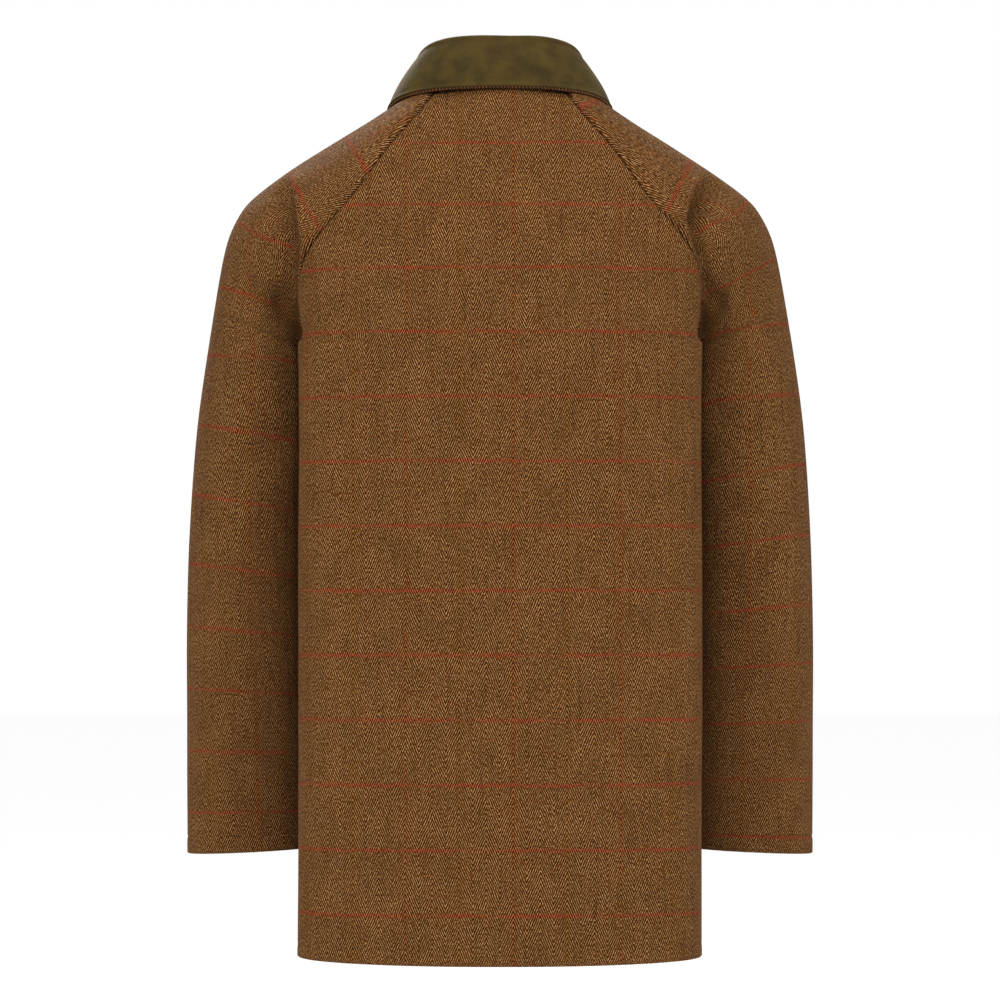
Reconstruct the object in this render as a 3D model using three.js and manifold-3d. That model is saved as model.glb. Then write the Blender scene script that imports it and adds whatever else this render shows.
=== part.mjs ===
// A raglan-sleeved tweed field jacket, filled out as when it is worn. Millimetres, +Z up.
// It faces -Y, so its left side is at +X. The origin lies between the two neck points of
// the shoulders, where the wearer's shoulders carry it.
// Every cloth piece is a thin wall. Its outer face is worked out row by row, and pieces
// that share a seam share the seam's points and its normals.
import * as THREE from "three";
import { mergeVertices } from "three/addons/utils/BufferGeometryUtils.js";
import Module from "manifold-3d";

const wasm = await Module();
wasm.setup();

// Cloth
const CLOTH = 2;
const COLLAR_CLOTH = 1.6;
const UNDERCOLLAR_CLOTH = 1;
const SEAM_GAP = 0.3;

// How finely the pieces are divided
const ROWS_BELOW = 11;
const ROWS_ABOVE = 15;
const BACK_COLUMNS = 20;
const FRONT_COLUMNS = 8;
const LAP_COLUMNS = 2;
const SLEEVE_COLUMNS = 24;
const COLLAR_STEPS = [4, 7, 7];
const FOLD_STEPS = 4;
const FALL_STEPS = 5;
const RING_STEPS = 240;

// How much closer together a body row's points are near its ends
const SIDE_CROWDING = 0.35;

// Body. The powers say how late a row's height turns from its centre's to its seam's.
const SIDE_SEAM_Y = -24;
const DENT_Y = -26;
const DENT_REACH = 60;
const DENT_FADE = 0.3;
const BACK_ROW_POWER = 2;
const FRONT_ROW_POWER = 1.6;
const LAP = 25;
const LAP_DROP = 2.8;
const LAP_RAMP_START = 58;
const LAP_RAMP_END = 34;

// Sleeves. The turn is where a ring's depth stops lying along Y and follows the seams.
const TURN_START = 0.85;
const TURN_END = 1.07;
const SEAM_SHARE = 0.4;
const ARM_CLEARANCE = 4;
const CONTACT_SOFTNESS = 5;
const CLEARANCE_LEVELS = 0.06;
const CLEARANCE_COLUMNS = 2;
const CREASE_FADE = 0.5;

// Collar
const COLLAR_LIFT = 0.45;
const COLLAR_REACH = 0.985;
const COLLAR_REST = 4.3;
const FOLD_RADIUS = 3.6;
const FALL_BULGE = 3;
const UNDERCOLLAR_SHOW = 1.8;
const LAYER_GAP = 0.3;
const STAND_POINTS = 2;
const FALL_START = STAND_POINTS + FOLD_STEPS;

// Buttons
const BUTTON_RADIUS = 11;
const BUTTON_THICKNESS = 4;
const BUTTON_ROUND = 0.9;
const BUTTON_RIM = 3;
const BUTTON_DISH = 0.9;
const BUTTON_HOLE_RADIUS = 1;
const BUTTON_HOLE_SPREAD = 2.6;
const BUTTON_SEGMENTS = 16;
const HOLE_SEGMENTS = 6;
const BUTTON_TOP_Z = -128;
const BUTTON_STEP = 118;
const BUTTON_COUNT = 5;
const BUTTON_SEAT = 0.3;

// How many times a search is repeated
const BISECTIONS = 24;
const LIFT_ROUNDS = 3;
const CENTRE_ROUNDS = 8;
const SEAT_ROUNDS = 3;

// A table with named columns, keyed by its first column. Called with a key, it gives
// every column there, on a smooth curve through the rows.
function table(header, rows) {
  const names = header.split(" ");
  const slope = (i, c) => {
    const before = rows[Math.max(i - 1, 0)];
    const after = rows[Math.min(i + 1, rows.length - 1)];
    return (after[c] - before[c]) / (after[0] - before[0]);
  };
  return (key) => {
    let i = 0;
    while (i < rows.length - 2 && key > rows[i + 1][0]) i++;
    const step = rows[i + 1][0] - rows[i][0];
    const s = Math.min(Math.max((key - rows[i][0]) / step, 0), 1);
    const found = {};
    names.forEach((name, c) => {
      found[name] =
        (1 + 2 * s) * (1 - s) ** 2 * rows[i][c] +
        s * (1 - s) ** 2 * step * slope(i, c) +
        s * s * (3 - 2 * s) * rows[i + 1][c] +
        s * s * (s - 1) * step * slope(i + 1, c);
    });
    return found;
  };
}

// The body's level sections. level is 0 at the hem, 1 at the underarm and 2 at the neck.
// backZ, sideZ and frontZ are the heights at the centre back, side seam and centre front.
// The section is widest at widestY. dent is how far the hanging arm presses the side in.
const BODY = table(
  "level backZ sideZ frontZ backY frontY halfWidth widestY backPower frontPower dent",
  [
    [0.0, -822.5, -817, -824, 139, -150, 187.8, 70, 2.8, 2.8, 8],
    [0.15, -737, -735, -738, 138, -149, 188.5, 70, 2.8, 2.8, 22],
    [0.4, -594, -594, -594, 137, -147, 189, 70, 2.8, 2.8, 24],
    [0.7, -424, -424, -424, 135, -145, 189, 70, 2.8, 2.8, 27],
    [0.9, -310, -310, -310, 136, -144, 189, 70, 2.8, 2.8, 31],
    [1.0, -255, -255, -255, 137, -142, 190, 70, 2.8, 2.8, 34],
    [1.07, -246, -248, -247, 137, -141, 191, 70, 2.8, 2.8, 33],
    [1.15, -226, -230, -238, 137, -140, 193, 69, 2.7, 2.7, 29],
    [1.3, -177, -182, -216, 134, -135, 200, 62, 2.6, 2.6, 16],
    [1.42, -150, -150, -196, 129, -129, 203, 54, 2.6, 2.5, 7],
    [1.55, -117, -118, -172, 122, -120, 198, 42, 2.6, 2.4, 2],
    [1.7, -72, -78, -143, 110, -108, 172, 24, 2.4, 2.3, 0],
    [1.85, -33, -49, -112, 94, -94, 120, 8, 2.2, 2.1, 0],
    [2.0, 2, -19, -80, 72, -80, 74, -2, 2.0, 2.0, 0],
  ],
);

// Where the sleeves' outline runs, and how round each sleeve section is. level is 0 at the
// cuff, 1 at the underarm and 2 at the neck. ridgeX and ridgeZ are the outline of the
// shoulder and arm. tilt lifts the outer side of a ring, in degrees. Above the underarm
// the ring is open, and opening is how far past its half it still reaches, in degrees.
const SLEEVE = table(
  "level ridgeX ridgeZ centreY halfWidth halfDepth tilt opening power",
  [
    [0.0, 301.5, -731.5, -44, 60, 46, -2.5, 90, 2.1],
    [0.2, 301, -626, -37, 60, 50, 1, 90, 2.1],
    [0.4, 300, -523, -30, 60, 55, 4.5, 90, 2.1],
    [0.6, 296.5, -420, -24, 60, 61, 8, 90, 2.1],
    [0.8, 289, -318, -18, 60, 68, 12, 90, 2.1],
    [0.93, 279.5, -250, -15, 60.5, 74, 15.5, 90, 2.05],
    [1.0, 272, -216, -13, 60.3, 77, 18, 90, 2.0],
    [1.07, 262.5, -184, -13, 60, 79, 20, 65, 2.0],
    [1.15, 255.5, -153, -13, 60, 80, 20, 40, 2.0],
    [1.22, 247.5, -132, -13, 60, 80, 20, 20, 2.0],
    [1.3, 234, -110, -13, 60, 80, 20, 7, 1.95],
    [1.42, 203, -84, -13, 60, 80, 20, 0, 1.9],
    [1.55, 162, -58, -13, 60, 80, 20, 0, 1.85],
    [1.7, 125, -37.3, -13, 60, 80, 20, 0, 1.85],
    [1.85, 97, -20.5, -13, 60, 80, 20, 0, 1.9],
    [2.0, 75, -6, -13, 60, 80, 20, 0, 2.0],
  ],
);

const lerp = (a, b, s) => a + (b - a) * s;
const clamp01 = (x) => Math.min(Math.max(x, 0), 1);
const smoothStep = (x) => clamp01(x) ** 2 * (3 - 2 * clamp01(x));
const radians = (degrees) => (degrees * Math.PI) / 180;

// How far out the body's side lies at a given Y, at a level.
function bodyHalfWidth(level, y) {
  const b = BODY(level);
  const back = y > b.widestY;
  const reach = back ? b.backY - b.widestY : b.widestY - b.frontY;
  const power = back ? b.backPower : b.frontPower;
  const share = Math.min(Math.abs(y - b.widestY) / reach, 1);
  const dent = b.dent * Math.exp(-(((y - DENT_Y) / DENT_REACH) ** 2));
  return Math.max(b.halfWidth * (1 - share ** power) ** (1 / power) - dent, 0);
}

// Half of the body's section at a level, from the centre back round to the centre front.
function bodyRing(level) {
  const b = BODY(level);
  const ring = [];
  for (let i = 0; i <= RING_STEPS; i++) {
    const angle = (Math.PI * i) / RING_STEPS;
    const back = angle < Math.PI / 2;
    const power = 2 / (back ? b.backPower : b.frontPower);
    const reach = back ? b.backY - b.widestY : b.widestY - b.frontY;
    const along = Math.sign(Math.cos(angle)) * Math.abs(Math.cos(angle)) ** power;
    const y = b.widestY + reach * along;
    const wide = b.halfWidth * Math.abs(Math.sin(angle)) ** power;
    const dent = b.dent * Math.exp(-(((y - DENT_Y) / DENT_REACH) ** 2));
    const fade = smoothStep(wide / (b.halfWidth * DENT_FADE));
    ring.push(new THREE.Vector3(wide - dent * fade, y, 0));
  }
  return ring;
}

// The lengths along a chain of points, from its first point.
function lengthsOf(points) {
  const lengths = [0];
  for (let i = 1; i < points.length; i++) {
    lengths.push(lengths[i - 1] + points[i].distanceTo(points[i - 1]));
  }
  return lengths;
}

// The point at a length along a chain.
function pointAt(points, lengths, length) {
  let i = 0;
  while (i < points.length - 2 && length > lengths[i + 1]) i++;
  const step = lengths[i + 1] - lengths[i];
  const s = step > 0 ? (length - lengths[i]) / step : 0;
  return points[i].clone().lerp(points[i + 1], s);
}

// The length along a ring to its point nearest to a target, seen from above.
function lengthNearest(ring, lengths, target) {
  let best = 0;
  let closest = Infinity;
  for (let i = 1; i < ring.length; i++) {
    const flat = new THREE.Vector3(target.x, target.y, 0);
    const line = new THREE.Line3(ring[i - 1], ring[i]);
    const s = line.closestPointToPointParameter(flat, true);
    const distance = line.at(s, new THREE.Vector3()).distanceTo(flat);
    if (distance < closest) {
      closest = distance;
      best = lerp(lengths[i - 1], lengths[i], s);
    }
  }
  return best;
}

const UNDERARM = new THREE.Vector3(bodyHalfWidth(1, SIDE_SEAM_Y), SIDE_SEAM_Y, BODY(1).sideZ);

// The raglan seams, from the underarm to the neck.
const BACK_SEAM = table("level x y z", [
  [1.0, UNDERARM.x, UNDERARM.y, UNDERARM.z],
  [1.07, 159, 20, -246],
  [1.15, 179, 48, -226],
  [1.22, 187, 73, -202],
  [1.3, 182, 93, -177],
  [1.42, 164, 106, -150],
  [1.55, 135, 112, -117],
  [1.7, 103, 103, -72],
  [1.85, 72, 84, -33],
  [2.0, 52, 50, 0],
]);
const FRONT_SEAM = table("level x y z", [
  [1.0, UNDERARM.x, UNDERARM.y, UNDERARM.z],
  [1.07, 146, -47, -248],
  [1.15, 147, -75, -230],
  [1.22, 147, -91, -207],
  [1.3, 140, -106, -182],
  [1.42, 128, -113, -150],
  [1.55, 112, -112, -118],
  [1.7, 92, -98, -78],
  [1.85, 77, -73, -49],
  [2.0, 63, -40, -19],
]);

const seamPoint = (seam, level) => {
  const at = seam(level);
  return new THREE.Vector3(at.x, at.y, at.z);
};

// The levels of a piece's rows, closer together above the underarm.
const LEVELS = [
  ...Array.from({ length: ROWS_BELOW }, (_, i) => i / ROWS_BELOW),
  ...Array.from({ length: ROWS_ABOVE + 1 }, (_, i) => 1 + i / ROWS_ABOVE),
];

// A row of a body panel on the +X side, from the centre line out to its seam. It follows
// the body's section, and its outer end is drawn onto the seam. over is how far it
// runs on past the centre line, for the front's lap, and the same columns are laid out on
// the near side of the line, so that the lapping layers have matching faces.
function bodyRow(level, isBack, columns, over, overColumns) {
  const ring = isBack ? bodyRing(level) : bodyRing(level).reverse();
  const lengths = lengthsOf(ring);
  const b = BODY(level);
  const centreZ = isBack ? b.backZ : b.frontZ;
  const seam = isBack ? BACK_SEAM : FRONT_SEAM;
  const end =
    level <= 1
      ? new THREE.Vector3(bodyHalfWidth(level, SIDE_SEAM_Y), SIDE_SEAM_Y, b.sideZ)
      : seamPoint(seam, level);
  const whole = lengthNearest(ring, lengths, end);
  const ringEnd = pointAt(ring, lengths, whole);
  const power = isBack ? BACK_ROW_POWER : FRONT_ROW_POWER;
  const shares = [];
  for (let i = -overColumns; i < overColumns; i++) {
    shares.push((i / overColumns) * (over / whole));
  }
  for (let i = 0; i <= columns; i++) {
    const u = i / columns;
    const crowded = u + (SIDE_CROWDING * Math.sin(Math.PI * u)) / Math.PI;
    shares.push(lerp(over / whole, 1, crowded));
  }
  const row = [];
  for (const s of shares) {
    const p = pointAt(ring, lengths, Math.abs(s) * whole);
    const pull = s > 0 ? s * s : 0;
    p.x = Math.sign(s) * p.x + (end.x - ringEnd.x) * pull;
    p.y += (end.y - ringEnd.y) * pull;
    p.z = lerp(centreZ, end.z, Math.abs(s) ** power);
    row.push(p);
  }
  return row;
}

// The level whose side lies at a height, below the underarm.
function levelAt(z) {
  let [low, high] = [0, 1];
  for (let i = 0; i < BISECTIONS; i++) {
    const middle = (low + high) / 2;
    if (BODY(middle).sideZ < z) low = middle;
    else high = middle;
  }
  return low;
}

// Moves a point of the sleeve out of the body's side, with a soft edge to the contact.
function clearOfBody(p, clearance) {
  const limit = bodyHalfWidth(levelAt(p.z), p.y) + clearance;
  const soft = CONTACT_SOFTNESS;
  const push = limit - p.x;
  if (push > soft) p.x = limit;
  else if (push > -soft) p.x += (push + soft) ** 2 / (4 * soft);
}

// The left sleeve's section at a level, from the back seam over the outer side to the front
// seam. Below the underarm it is a whole ring, which starts at the underarm seam.
function sleeveArc(level) {
  const s = SLEEVE(level);
  const { halfDepth: hangingDepth, halfWidth: hangingWidth } = SLEEVE(Math.min(level, 1));
  const back = seamPoint(BACK_SEAM, Math.max(level, 1));
  const front = seamPoint(FRONT_SEAM, Math.max(level, 1));
  const turned = Math.max(level, TURN_END);
  const acrossSeams = seamPoint(BACK_SEAM, turned).sub(seamPoint(FRONT_SEAM, turned)).normalize();
  const turn = smoothStep((level - TURN_START) / (TURN_END - TURN_START));
  const depthwise = new THREE.Vector3(0, 1, 0).lerp(acrossSeams, turn).normalize();
  const middle = back.clone().lerp(front, 0.5);
  const ridge = new THREE.Vector3(s.ridgeX, middle.y, s.ridgeZ);
  const outward = ridge.clone().sub(middle);
  let opening = radians(90);
  let halfWidth = hangingWidth;
  let halfDepth = hangingDepth;
  if (level > 1) {
    opening = radians(s.opening);
    halfWidth = outward.length() / (1 + Math.sin(opening));
    const spanning = back.distanceTo(front) / (2 * Math.max(Math.cos(opening), 0.1));
    halfDepth = lerp(hangingDepth, spanning, smoothStep((level - 1) / (TURN_END - 1)));
  } else {
    ridge.y = s.centreY;
    outward.set(Math.cos(radians(s.tilt)), 0, Math.sin(radians(s.tilt)));
  }
  outward.normalize();
  const centre = ridge.clone().addScaledVector(outward, -halfWidth);
  const power = 2 / s.power;
  const arc = [];
  for (let i = 0; i <= RING_STEPS; i++) {
    const angle = lerp(-opening, Math.PI + opening, i / RING_STEPS);
    const [c, n] = [Math.cos(angle), Math.sin(angle)];
    arc.push(
      centre
        .clone()
        .addScaledVector(depthwise, halfDepth * Math.sign(c) * Math.abs(c) ** power)
        .addScaledVector(outward, halfWidth * Math.sign(n) * Math.abs(n) ** power),
    );
  }
  return arc;
}

// A row of the left sleeve: its section's points, evenly spaced. Above the underarm the
// ends are drawn onto the raglan seams, and below it the row is kept clear of the body.
function sleeveRow(level) {
  const arc = sleeveArc(level);
  const lengths = lengthsOf(arc);
  const row = [];
  for (let i = 0; i <= SLEEVE_COLUMNS; i++) {
    row.push(pointAt(arc, lengths, (lengths[RING_STEPS] * i) / SLEEVE_COLUMNS));
  }
  if (level >= 1) {
    const toBack = seamPoint(BACK_SEAM, level).sub(row[0]);
    const toFront = seamPoint(FRONT_SEAM, level).sub(row[SLEEVE_COLUMNS]);
    row.forEach((p, i) => {
      const u = i / SLEEVE_COLUMNS;
      p.addScaledVector(toBack, clamp01(1 - u / SEAM_SHARE) ** 2);
      p.addScaledVector(toFront, clamp01(1 - (1 - u) / SEAM_SHARE) ** 2);
    });
  }
  if (level <= 1) {
    row.forEach((p, i) => {
      const fromSeam = Math.min(i, SLEEVE_COLUMNS - i);
      if (level === 1 && fromSeam === 0) return;
      const byLevel = smoothStep((1 - level) / CLEARANCE_LEVELS);
      const byColumn = smoothStep(fromSeam / CLEARANCE_COLUMNS);
      clearOfBody(p, ARM_CLEARANCE * Math.max(byLevel, byColumn));
    });
  }
  return row;
}

const mirror = (p) => new THREE.Vector3(-p.x, p.y, p.z);

// A sheet from rows of points. In the first closedRows rows, the last point of a row is its
// first point again, so the sheet closes there into a tube.
function sheetFrom(name, rows, closedRows) {
  const points = [];
  const index = rows.map((row, r) =>
    row.map((p, c) => {
      if (r < closedRows && c === row.length - 1) return points.length - c;
      points.push(p);
      return points.length - 1;
    }),
  );
  const faces = [];
  for (let r = 0; r + 1 < rows.length; r++) {
    for (let c = 0; c + 1 < rows[r].length; c++) {
      faces.push([index[r][c], index[r][c + 1], index[r + 1][c + 1], index[r + 1][c]]);
    }
  }
  return { name, points, faces };
}

// The soft creases that run down the sleeves beside the armpits, as lines seen square on from
// behind or in front. side is 1 for the jacket's left, and face is 1 for the back. width is
// how far a crease spreads from its line.
const CREASES = [
  ["side", "face", "x0", "z0", "x1", "z1", "width", "depth"],
  [1, 1, 200, -100, 193, -140, 13, 6],
  [1, 1, 193, -140, 189, -178, 12, 9],
  [1, 1, 189, -178, 188, -235, 11, 9],
  [-1, 1, 196, -104, 181, -128, 12, 6],
  [-1, 1, 181, -128, 179, -165, 11, 8],
  [-1, 1, 179, -165, 187, -235, 11, 9],
  [1, -1, 178, -120, 165, -190, 16, 6],
  [-1, -1, 180, -118, 166, -188, 16, 6],
];

// How deep the creases are at a point of a sleeve.
function creaseDepth(p, normal) {
  let depth = 0;
  for (const [side, face, x0, z0, x1, z1, width, deep] of CREASES.slice(1)) {
    if (side * p.x < 0 || face * normal.y < 0) continue;
    const line = new THREE.Line3(new THREE.Vector3(x0, 0, z0), new THREE.Vector3(x1, 0, z1));
    const flat = new THREE.Vector3(Math.abs(p.x), 0, p.z);
    const near = line.closestPointToPoint(flat, true, new THREE.Vector3());
    const here = deep * Math.exp(-((near.distanceTo(flat) / width) ** 2));
    depth = Math.max(depth, here * smoothStep(Math.abs(normal.y) / CREASE_FADE));
  }
  return depth;
}

const keyOf = (p) => `${p.x.toFixed(3)},${p.y.toFixed(3)},${p.z.toFixed(3)}`;

// The outward normal at each point of a set of sheets. Points that coincide share one.
function sharedNormals(sheets) {
  const normals = new Map();
  for (const { points, faces } of sheets) {
    for (const [a, b, c, d] of faces) {
      const across = points[c].clone().sub(points[a]);
      const normal = across.cross(points[d].clone().sub(points[b]));
      for (const i of [a, b, c, d]) {
        const key = keyOf(points[i]);
        if (!normals.has(key)) normals.set(key, new THREE.Vector3());
        normals.get(key).add(normal);
      }
    }
  }
  for (const normal of normals.values()) normal.normalize();
  return normals;
}

// The edges that only one face has, as a map from each edge's start to its end.
function freeEdges(faces) {
  const seen = new Set();
  for (const face of faces) {
    face.forEach((a, i) => seen.add(`${a},${face[(i + 1) % 4]}`));
  }
  const next = new Map();
  for (const face of faces) {
    face.forEach((a, i) => {
      const b = face[(i + 1) % 4];
      if (!seen.has(`${b},${a}`)) next.set(a, b);
    });
  }
  return next;
}

// The closed wall between two layers of a sheet, at the distances outer and inner along the
// normals. Its free edges are drawn in by inset.
function wallOf(sheet, normals, outer, inner, inset) {
  const { points, faces } = sheet;
  const next = freeEdges(faces);
  const before = new Map([...next].map(([a, b]) => [b, a]));
  const inward = (normal, from, to) =>
    normal.clone().cross(points[to].clone().sub(points[from])).normalize();
  const layers = [[], []];
  points.forEach((p, i) => {
    const normal = normals.get(keyOf(p));
    const q = p.clone();
    if (next.has(i)) {
      const one = inward(normal, before.get(i), i);
      const two = inward(normal, i, next.get(i));
      const spread = Math.max(1 + one.dot(two), 0.5);
      q.addScaledVector(one.add(two), inset / spread);
    }
    layers[0].push(q.clone().addScaledVector(normal, outer));
    layers[1].push(q.clone().addScaledVector(normal, inner));
  });
  const n = points.length;
  const corners = [...layers[0], ...layers[1]];
  const index = [];
  const addFace = (a, b, c, d) => {
    if (corners[a].distanceTo(corners[c]) < corners[b].distanceTo(corners[d])) {
      index.push(a, b, c, a, c, d);
    } else {
      index.push(a, b, d, b, c, d);
    }
  };
  for (const [a, b, c, d] of faces) {
    addFace(a, b, c, d);
    addFace(n + d, n + c, n + b, n + a);
  }
  for (const [a, b] of next) addFace(b, a, n + a, n + b);
  const geometry = new THREE.BufferGeometry();
  const flat = corners.flatMap((p) => [p.x, p.y, p.z]);
  geometry.setAttribute("position", new THREE.Float32BufferAttribute(flat, 3));
  geometry.setIndex(index);
  geometry.computeVertexNormals();
  return geometry;
}

// The one-piece back, from the left side to the right.
function backSheet() {
  const rows = LEVELS.map((level) => {
    const half = bodyRow(level, true, BACK_COLUMNS / 2, 0, 0);
    return [...half.slice().reverse(), ...half.slice(1).map(mirror)];
  });
  return sheetFrom("back", rows, 0);
}

// A front, from its lapping edge to the side. The right one lies under the left one.
function frontSheet(isLeft) {
  const rows = LEVELS.map((level) => {
    const row = bodyRow(level, false, FRONT_COLUMNS, LAP, LAP_COLUMNS);
    if (isLeft) return row;
    for (const p of row) {
      const from = (LAP_RAMP_START - p.x) / (LAP_RAMP_START - LAP_RAMP_END);
      p.y += LAP_DROP * smoothStep(from);
    }
    return row.map(mirror).reverse();
  });
  return sheetFrom(isLeft ? "front_left" : "front_right", rows, 0);
}

// A sleeve with its creases, closed into a tube below the underarm.
function sleeveSheet(isLeft) {
  const rows = LEVELS.map((level) => {
    const row = sleeveRow(level);
    return isLeft ? row.reverse() : row.map(mirror);
  });
  const sheet = sheetFrom(isLeft ? "sleeve_left" : "sleeve_right", rows, ROWS_BELOW + 1);
  const normals = sharedNormals([sheet]);
  const seams = new Set(freeEdges(sheet.faces).keys());
  sheet.points = sheet.points.map((p, i) => {
    if (seams.has(i)) return p;
    const normal = normals.get(keyOf(p));
    return p.clone().addScaledVector(normal, -creaseDepth(p, normal));
  });
  return sheet;
}

// Half of the neck seam, from the centre back round to the centre front.
function neckSeam() {
  const back = bodyRow(2, true, BACK_COLUMNS / 2, 0, 0);
  const side = sleeveRow(2);
  const front = bodyRow(2, false, FRONT_COLUMNS, 0, 0).reverse();
  return [...back, ...side.slice(1), ...front.slice(1)];
}

// The collar's fold line and outer edge. along is the share of the neck seam from the
// centre back to the centre front.
const COLLAR = table("along foldX foldY foldZ edgeX edgeY edgeZ", [
  [0.0, 0, 79, 35, 0, 88.5, -15],
  [0.12, 34, 75, 35, 43, 85, -15.5],
  [0.22, 57, 61, 33.5, 71, 75, -17],
  [0.32, 71, 40, 29.5, 93, 53, -19.5],
  [0.42, 77, 12, 22.5, 106, 14, -22],
  [0.52, 75, -16, 11, 109, -28, -30],
  [0.6, 68, -38, -3, 105, -64, -43],
  [0.7, 55, -56, -19, 95, -92, -60],
  [0.8, 42, -71, -40, 79, -106, -88],
  [0.9, 25, -82, -59, 63, -111, -110],
  [1.0, 3, -88, -71, 48, -115, -127],
]);

// The faces of a set of sheets as triangles.
function trianglesOf(sheets) {
  const triangles = [];
  for (const { points, faces } of sheets) {
    for (const [a, b, c, d] of faces) {
      for (const corners of [[a, b, c], [a, c, d]]) {
        const triangle = new THREE.Triangle(...corners.map((i) => points[i]));
        if (triangle.getArea() > 1e-6) triangles.push(triangle);
      }
    }
  }
  return triangles;
}

// How far a point lies outside the nearest of a set of triangles, and which way is out.
function heightOver(p, triangles) {
  let best = { distance: Infinity };
  const near = new THREE.Vector3();
  for (const triangle of triangles) {
    triangle.closestPointToPoint(p, near);
    const distance = near.distanceTo(p);
    if (distance < best.distance) {
      const normal = triangle.getNormal(new THREE.Vector3());
      const height = p.clone().sub(near).dot(normal);
      best = { distance, height, normal };
    }
  }
  return best;
}

// Lifts a point until it lies at least a clearance outside the triangles.
function liftOver(p, triangles, clearance) {
  for (let i = 0; i < LIFT_ROUNDS; i++) {
    const { height, normal } = heightOver(p, triangles);
    if (height < clearance) p.addScaledVector(normal, clearance - height);
  }
}

// A strip across the collar at a share of the neck seam: up the stand, over the fold and
// down the fall, which rests on the triangles below it. extra lengthens the fall past its
// edge.
function collarStrip(along, neck, lengths, below, extra) {
  const whole = lengths[lengths.length - 1];
  const c = COLLAR(along);
  const foot = pointAt(neck, lengths, whole * along);
  foot.z += COLLAR_LIFT;
  const fold = new THREE.Vector3(c.foldX, c.foldY, c.foldZ);
  const edge = new THREE.Vector3(c.edgeX, c.edgeY, c.edgeZ);
  const up = fold.clone().sub(foot).normalize();
  const out = edge.clone().sub(fold);
  out.addScaledVector(up, -out.dot(up)).normalize();
  const hub = fold.clone().addScaledVector(up, -FOLD_RADIUS);
  const strip = [];
  const standEnd = hub.clone().addScaledVector(out, -FOLD_RADIUS);
  for (let i = 0; i < STAND_POINTS; i++) {
    strip.push(foot.clone().lerp(standEnd, i / STAND_POINTS));
  }
  for (let i = 0; i <= FOLD_STEPS; i++) {
    const angle = Math.PI * (1 - i / FOLD_STEPS);
    strip.push(
      hub
        .clone()
        .addScaledVector(out, FOLD_RADIUS * Math.cos(angle))
        .addScaledVector(up, FOLD_RADIUS * Math.sin(angle)),
    );
  }
  const fallStart = strip[strip.length - 1].clone();
  const fall = edge.clone().sub(fallStart);
  const bow = out.clone().addScaledVector(fall, -out.dot(fall) / fall.lengthSq()).normalize();
  for (let i = 1; i <= FALL_STEPS; i++) {
    const s = i / FALL_STEPS;
    const p = fallStart.clone().addScaledVector(fall, s);
    p.addScaledVector(bow, FALL_BULGE * 4 * s * (1 - s));
    liftOver(p, below, COLLAR_REST);
    strip.push(p);
  }
  strip[strip.length - 1].addScaledVector(fall.normalize(), extra);
  return strip;
}

// The collar's sheet, from the left front round the back to the right front. It starts
// at the given point of its strips: at the neck seam, or where the fall leaves the fold.
function collarSheet(name, below, start, extra) {
  const neck = neckSeam();
  const lengths = lengthsOf(neck);
  const whole = lengths[lengths.length - 1];
  const toSleeve = lengths[BACK_COLUMNS / 2] / whole;
  const toFront = lengths[BACK_COLUMNS / 2 + SLEEVE_COLUMNS] / whole;
  const corners = [0, toSleeve, toFront, COLLAR_REACH];
  const half = [];
  COLLAR_STEPS.forEach((steps, i) => {
    for (let k = i === 0 ? 0 : 1; k <= steps; k++) {
      const along = lerp(corners[i], corners[i + 1], k / steps);
      half.push(collarStrip(along, neck, lengths, below, extra).slice(start));
    }
  });
  const right = half.slice(1).map((strip) => strip.map(mirror));
  return sheetFrom(name, [...half.reverse(), ...right], 0);
}

// A geometry with merged corners and nothing but its positions.
function plain(geometry) {
  geometry.deleteAttribute("normal");
  geometry.deleteAttribute("uv");
  return mergeVertices(geometry, 1e-4);
}

// A closed mesh as a solid that can be cut, and back again.
function solidOf(geometry) {
  return new wasm.Manifold(
    new wasm.Mesh({
      numProp: 3,
      vertProperties: new Float32Array(geometry.attributes.position.array),
      triVerts: new Uint32Array(geometry.index.array),
    }),
  );
}
function geometryOf(solid) {
  const made = solid.getMesh();
  const geometry = new THREE.BufferGeometry();
  geometry.setAttribute("position", new THREE.BufferAttribute(made.vertProperties, 3));
  geometry.setIndex(new THREE.BufferAttribute(made.triVerts, 1));
  geometry.computeVertexNormals();
  return geometry;
}

// A button: a dished disc with a rounded rim and four holes, its flat back at Z = 0.
function buttonGeometry() {
  const profile = [
    [0, 0],
    [BUTTON_RADIUS - BUTTON_ROUND, 0],
    [BUTTON_RADIUS, BUTTON_ROUND],
    [BUTTON_RADIUS, BUTTON_THICKNESS - BUTTON_ROUND],
    [BUTTON_RADIUS - BUTTON_ROUND, BUTTON_THICKNESS],
    [BUTTON_RADIUS - BUTTON_RIM, BUTTON_THICKNESS - BUTTON_DISH],
    [0, BUTTON_THICKNESS - BUTTON_DISH],
  ];
  const outline = profile.map(([radius, height]) => new THREE.Vector2(radius, height));
  const disc = plain(new THREE.LatheGeometry(outline, BUTTON_SEGMENTS).rotateX(Math.PI / 2));
  let solid = solidOf(disc);
  for (const x of [-1, 1]) {
    for (const y of [-1, 1]) {
      const hole = new THREE.CylinderGeometry(
        BUTTON_HOLE_RADIUS,
        BUTTON_HOLE_RADIUS,
        3 * BUTTON_THICKNESS,
        HOLE_SEGMENTS,
      );
      hole.rotateX(Math.PI / 2);
      hole.translate((x * BUTTON_HOLE_SPREAD) / 2, (y * BUTTON_HOLE_SPREAD) / 2, 0);
      solid = solid.subtract(solidOf(plain(hole)));
    }
  }
  return geometryOf(solid);
}

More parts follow.
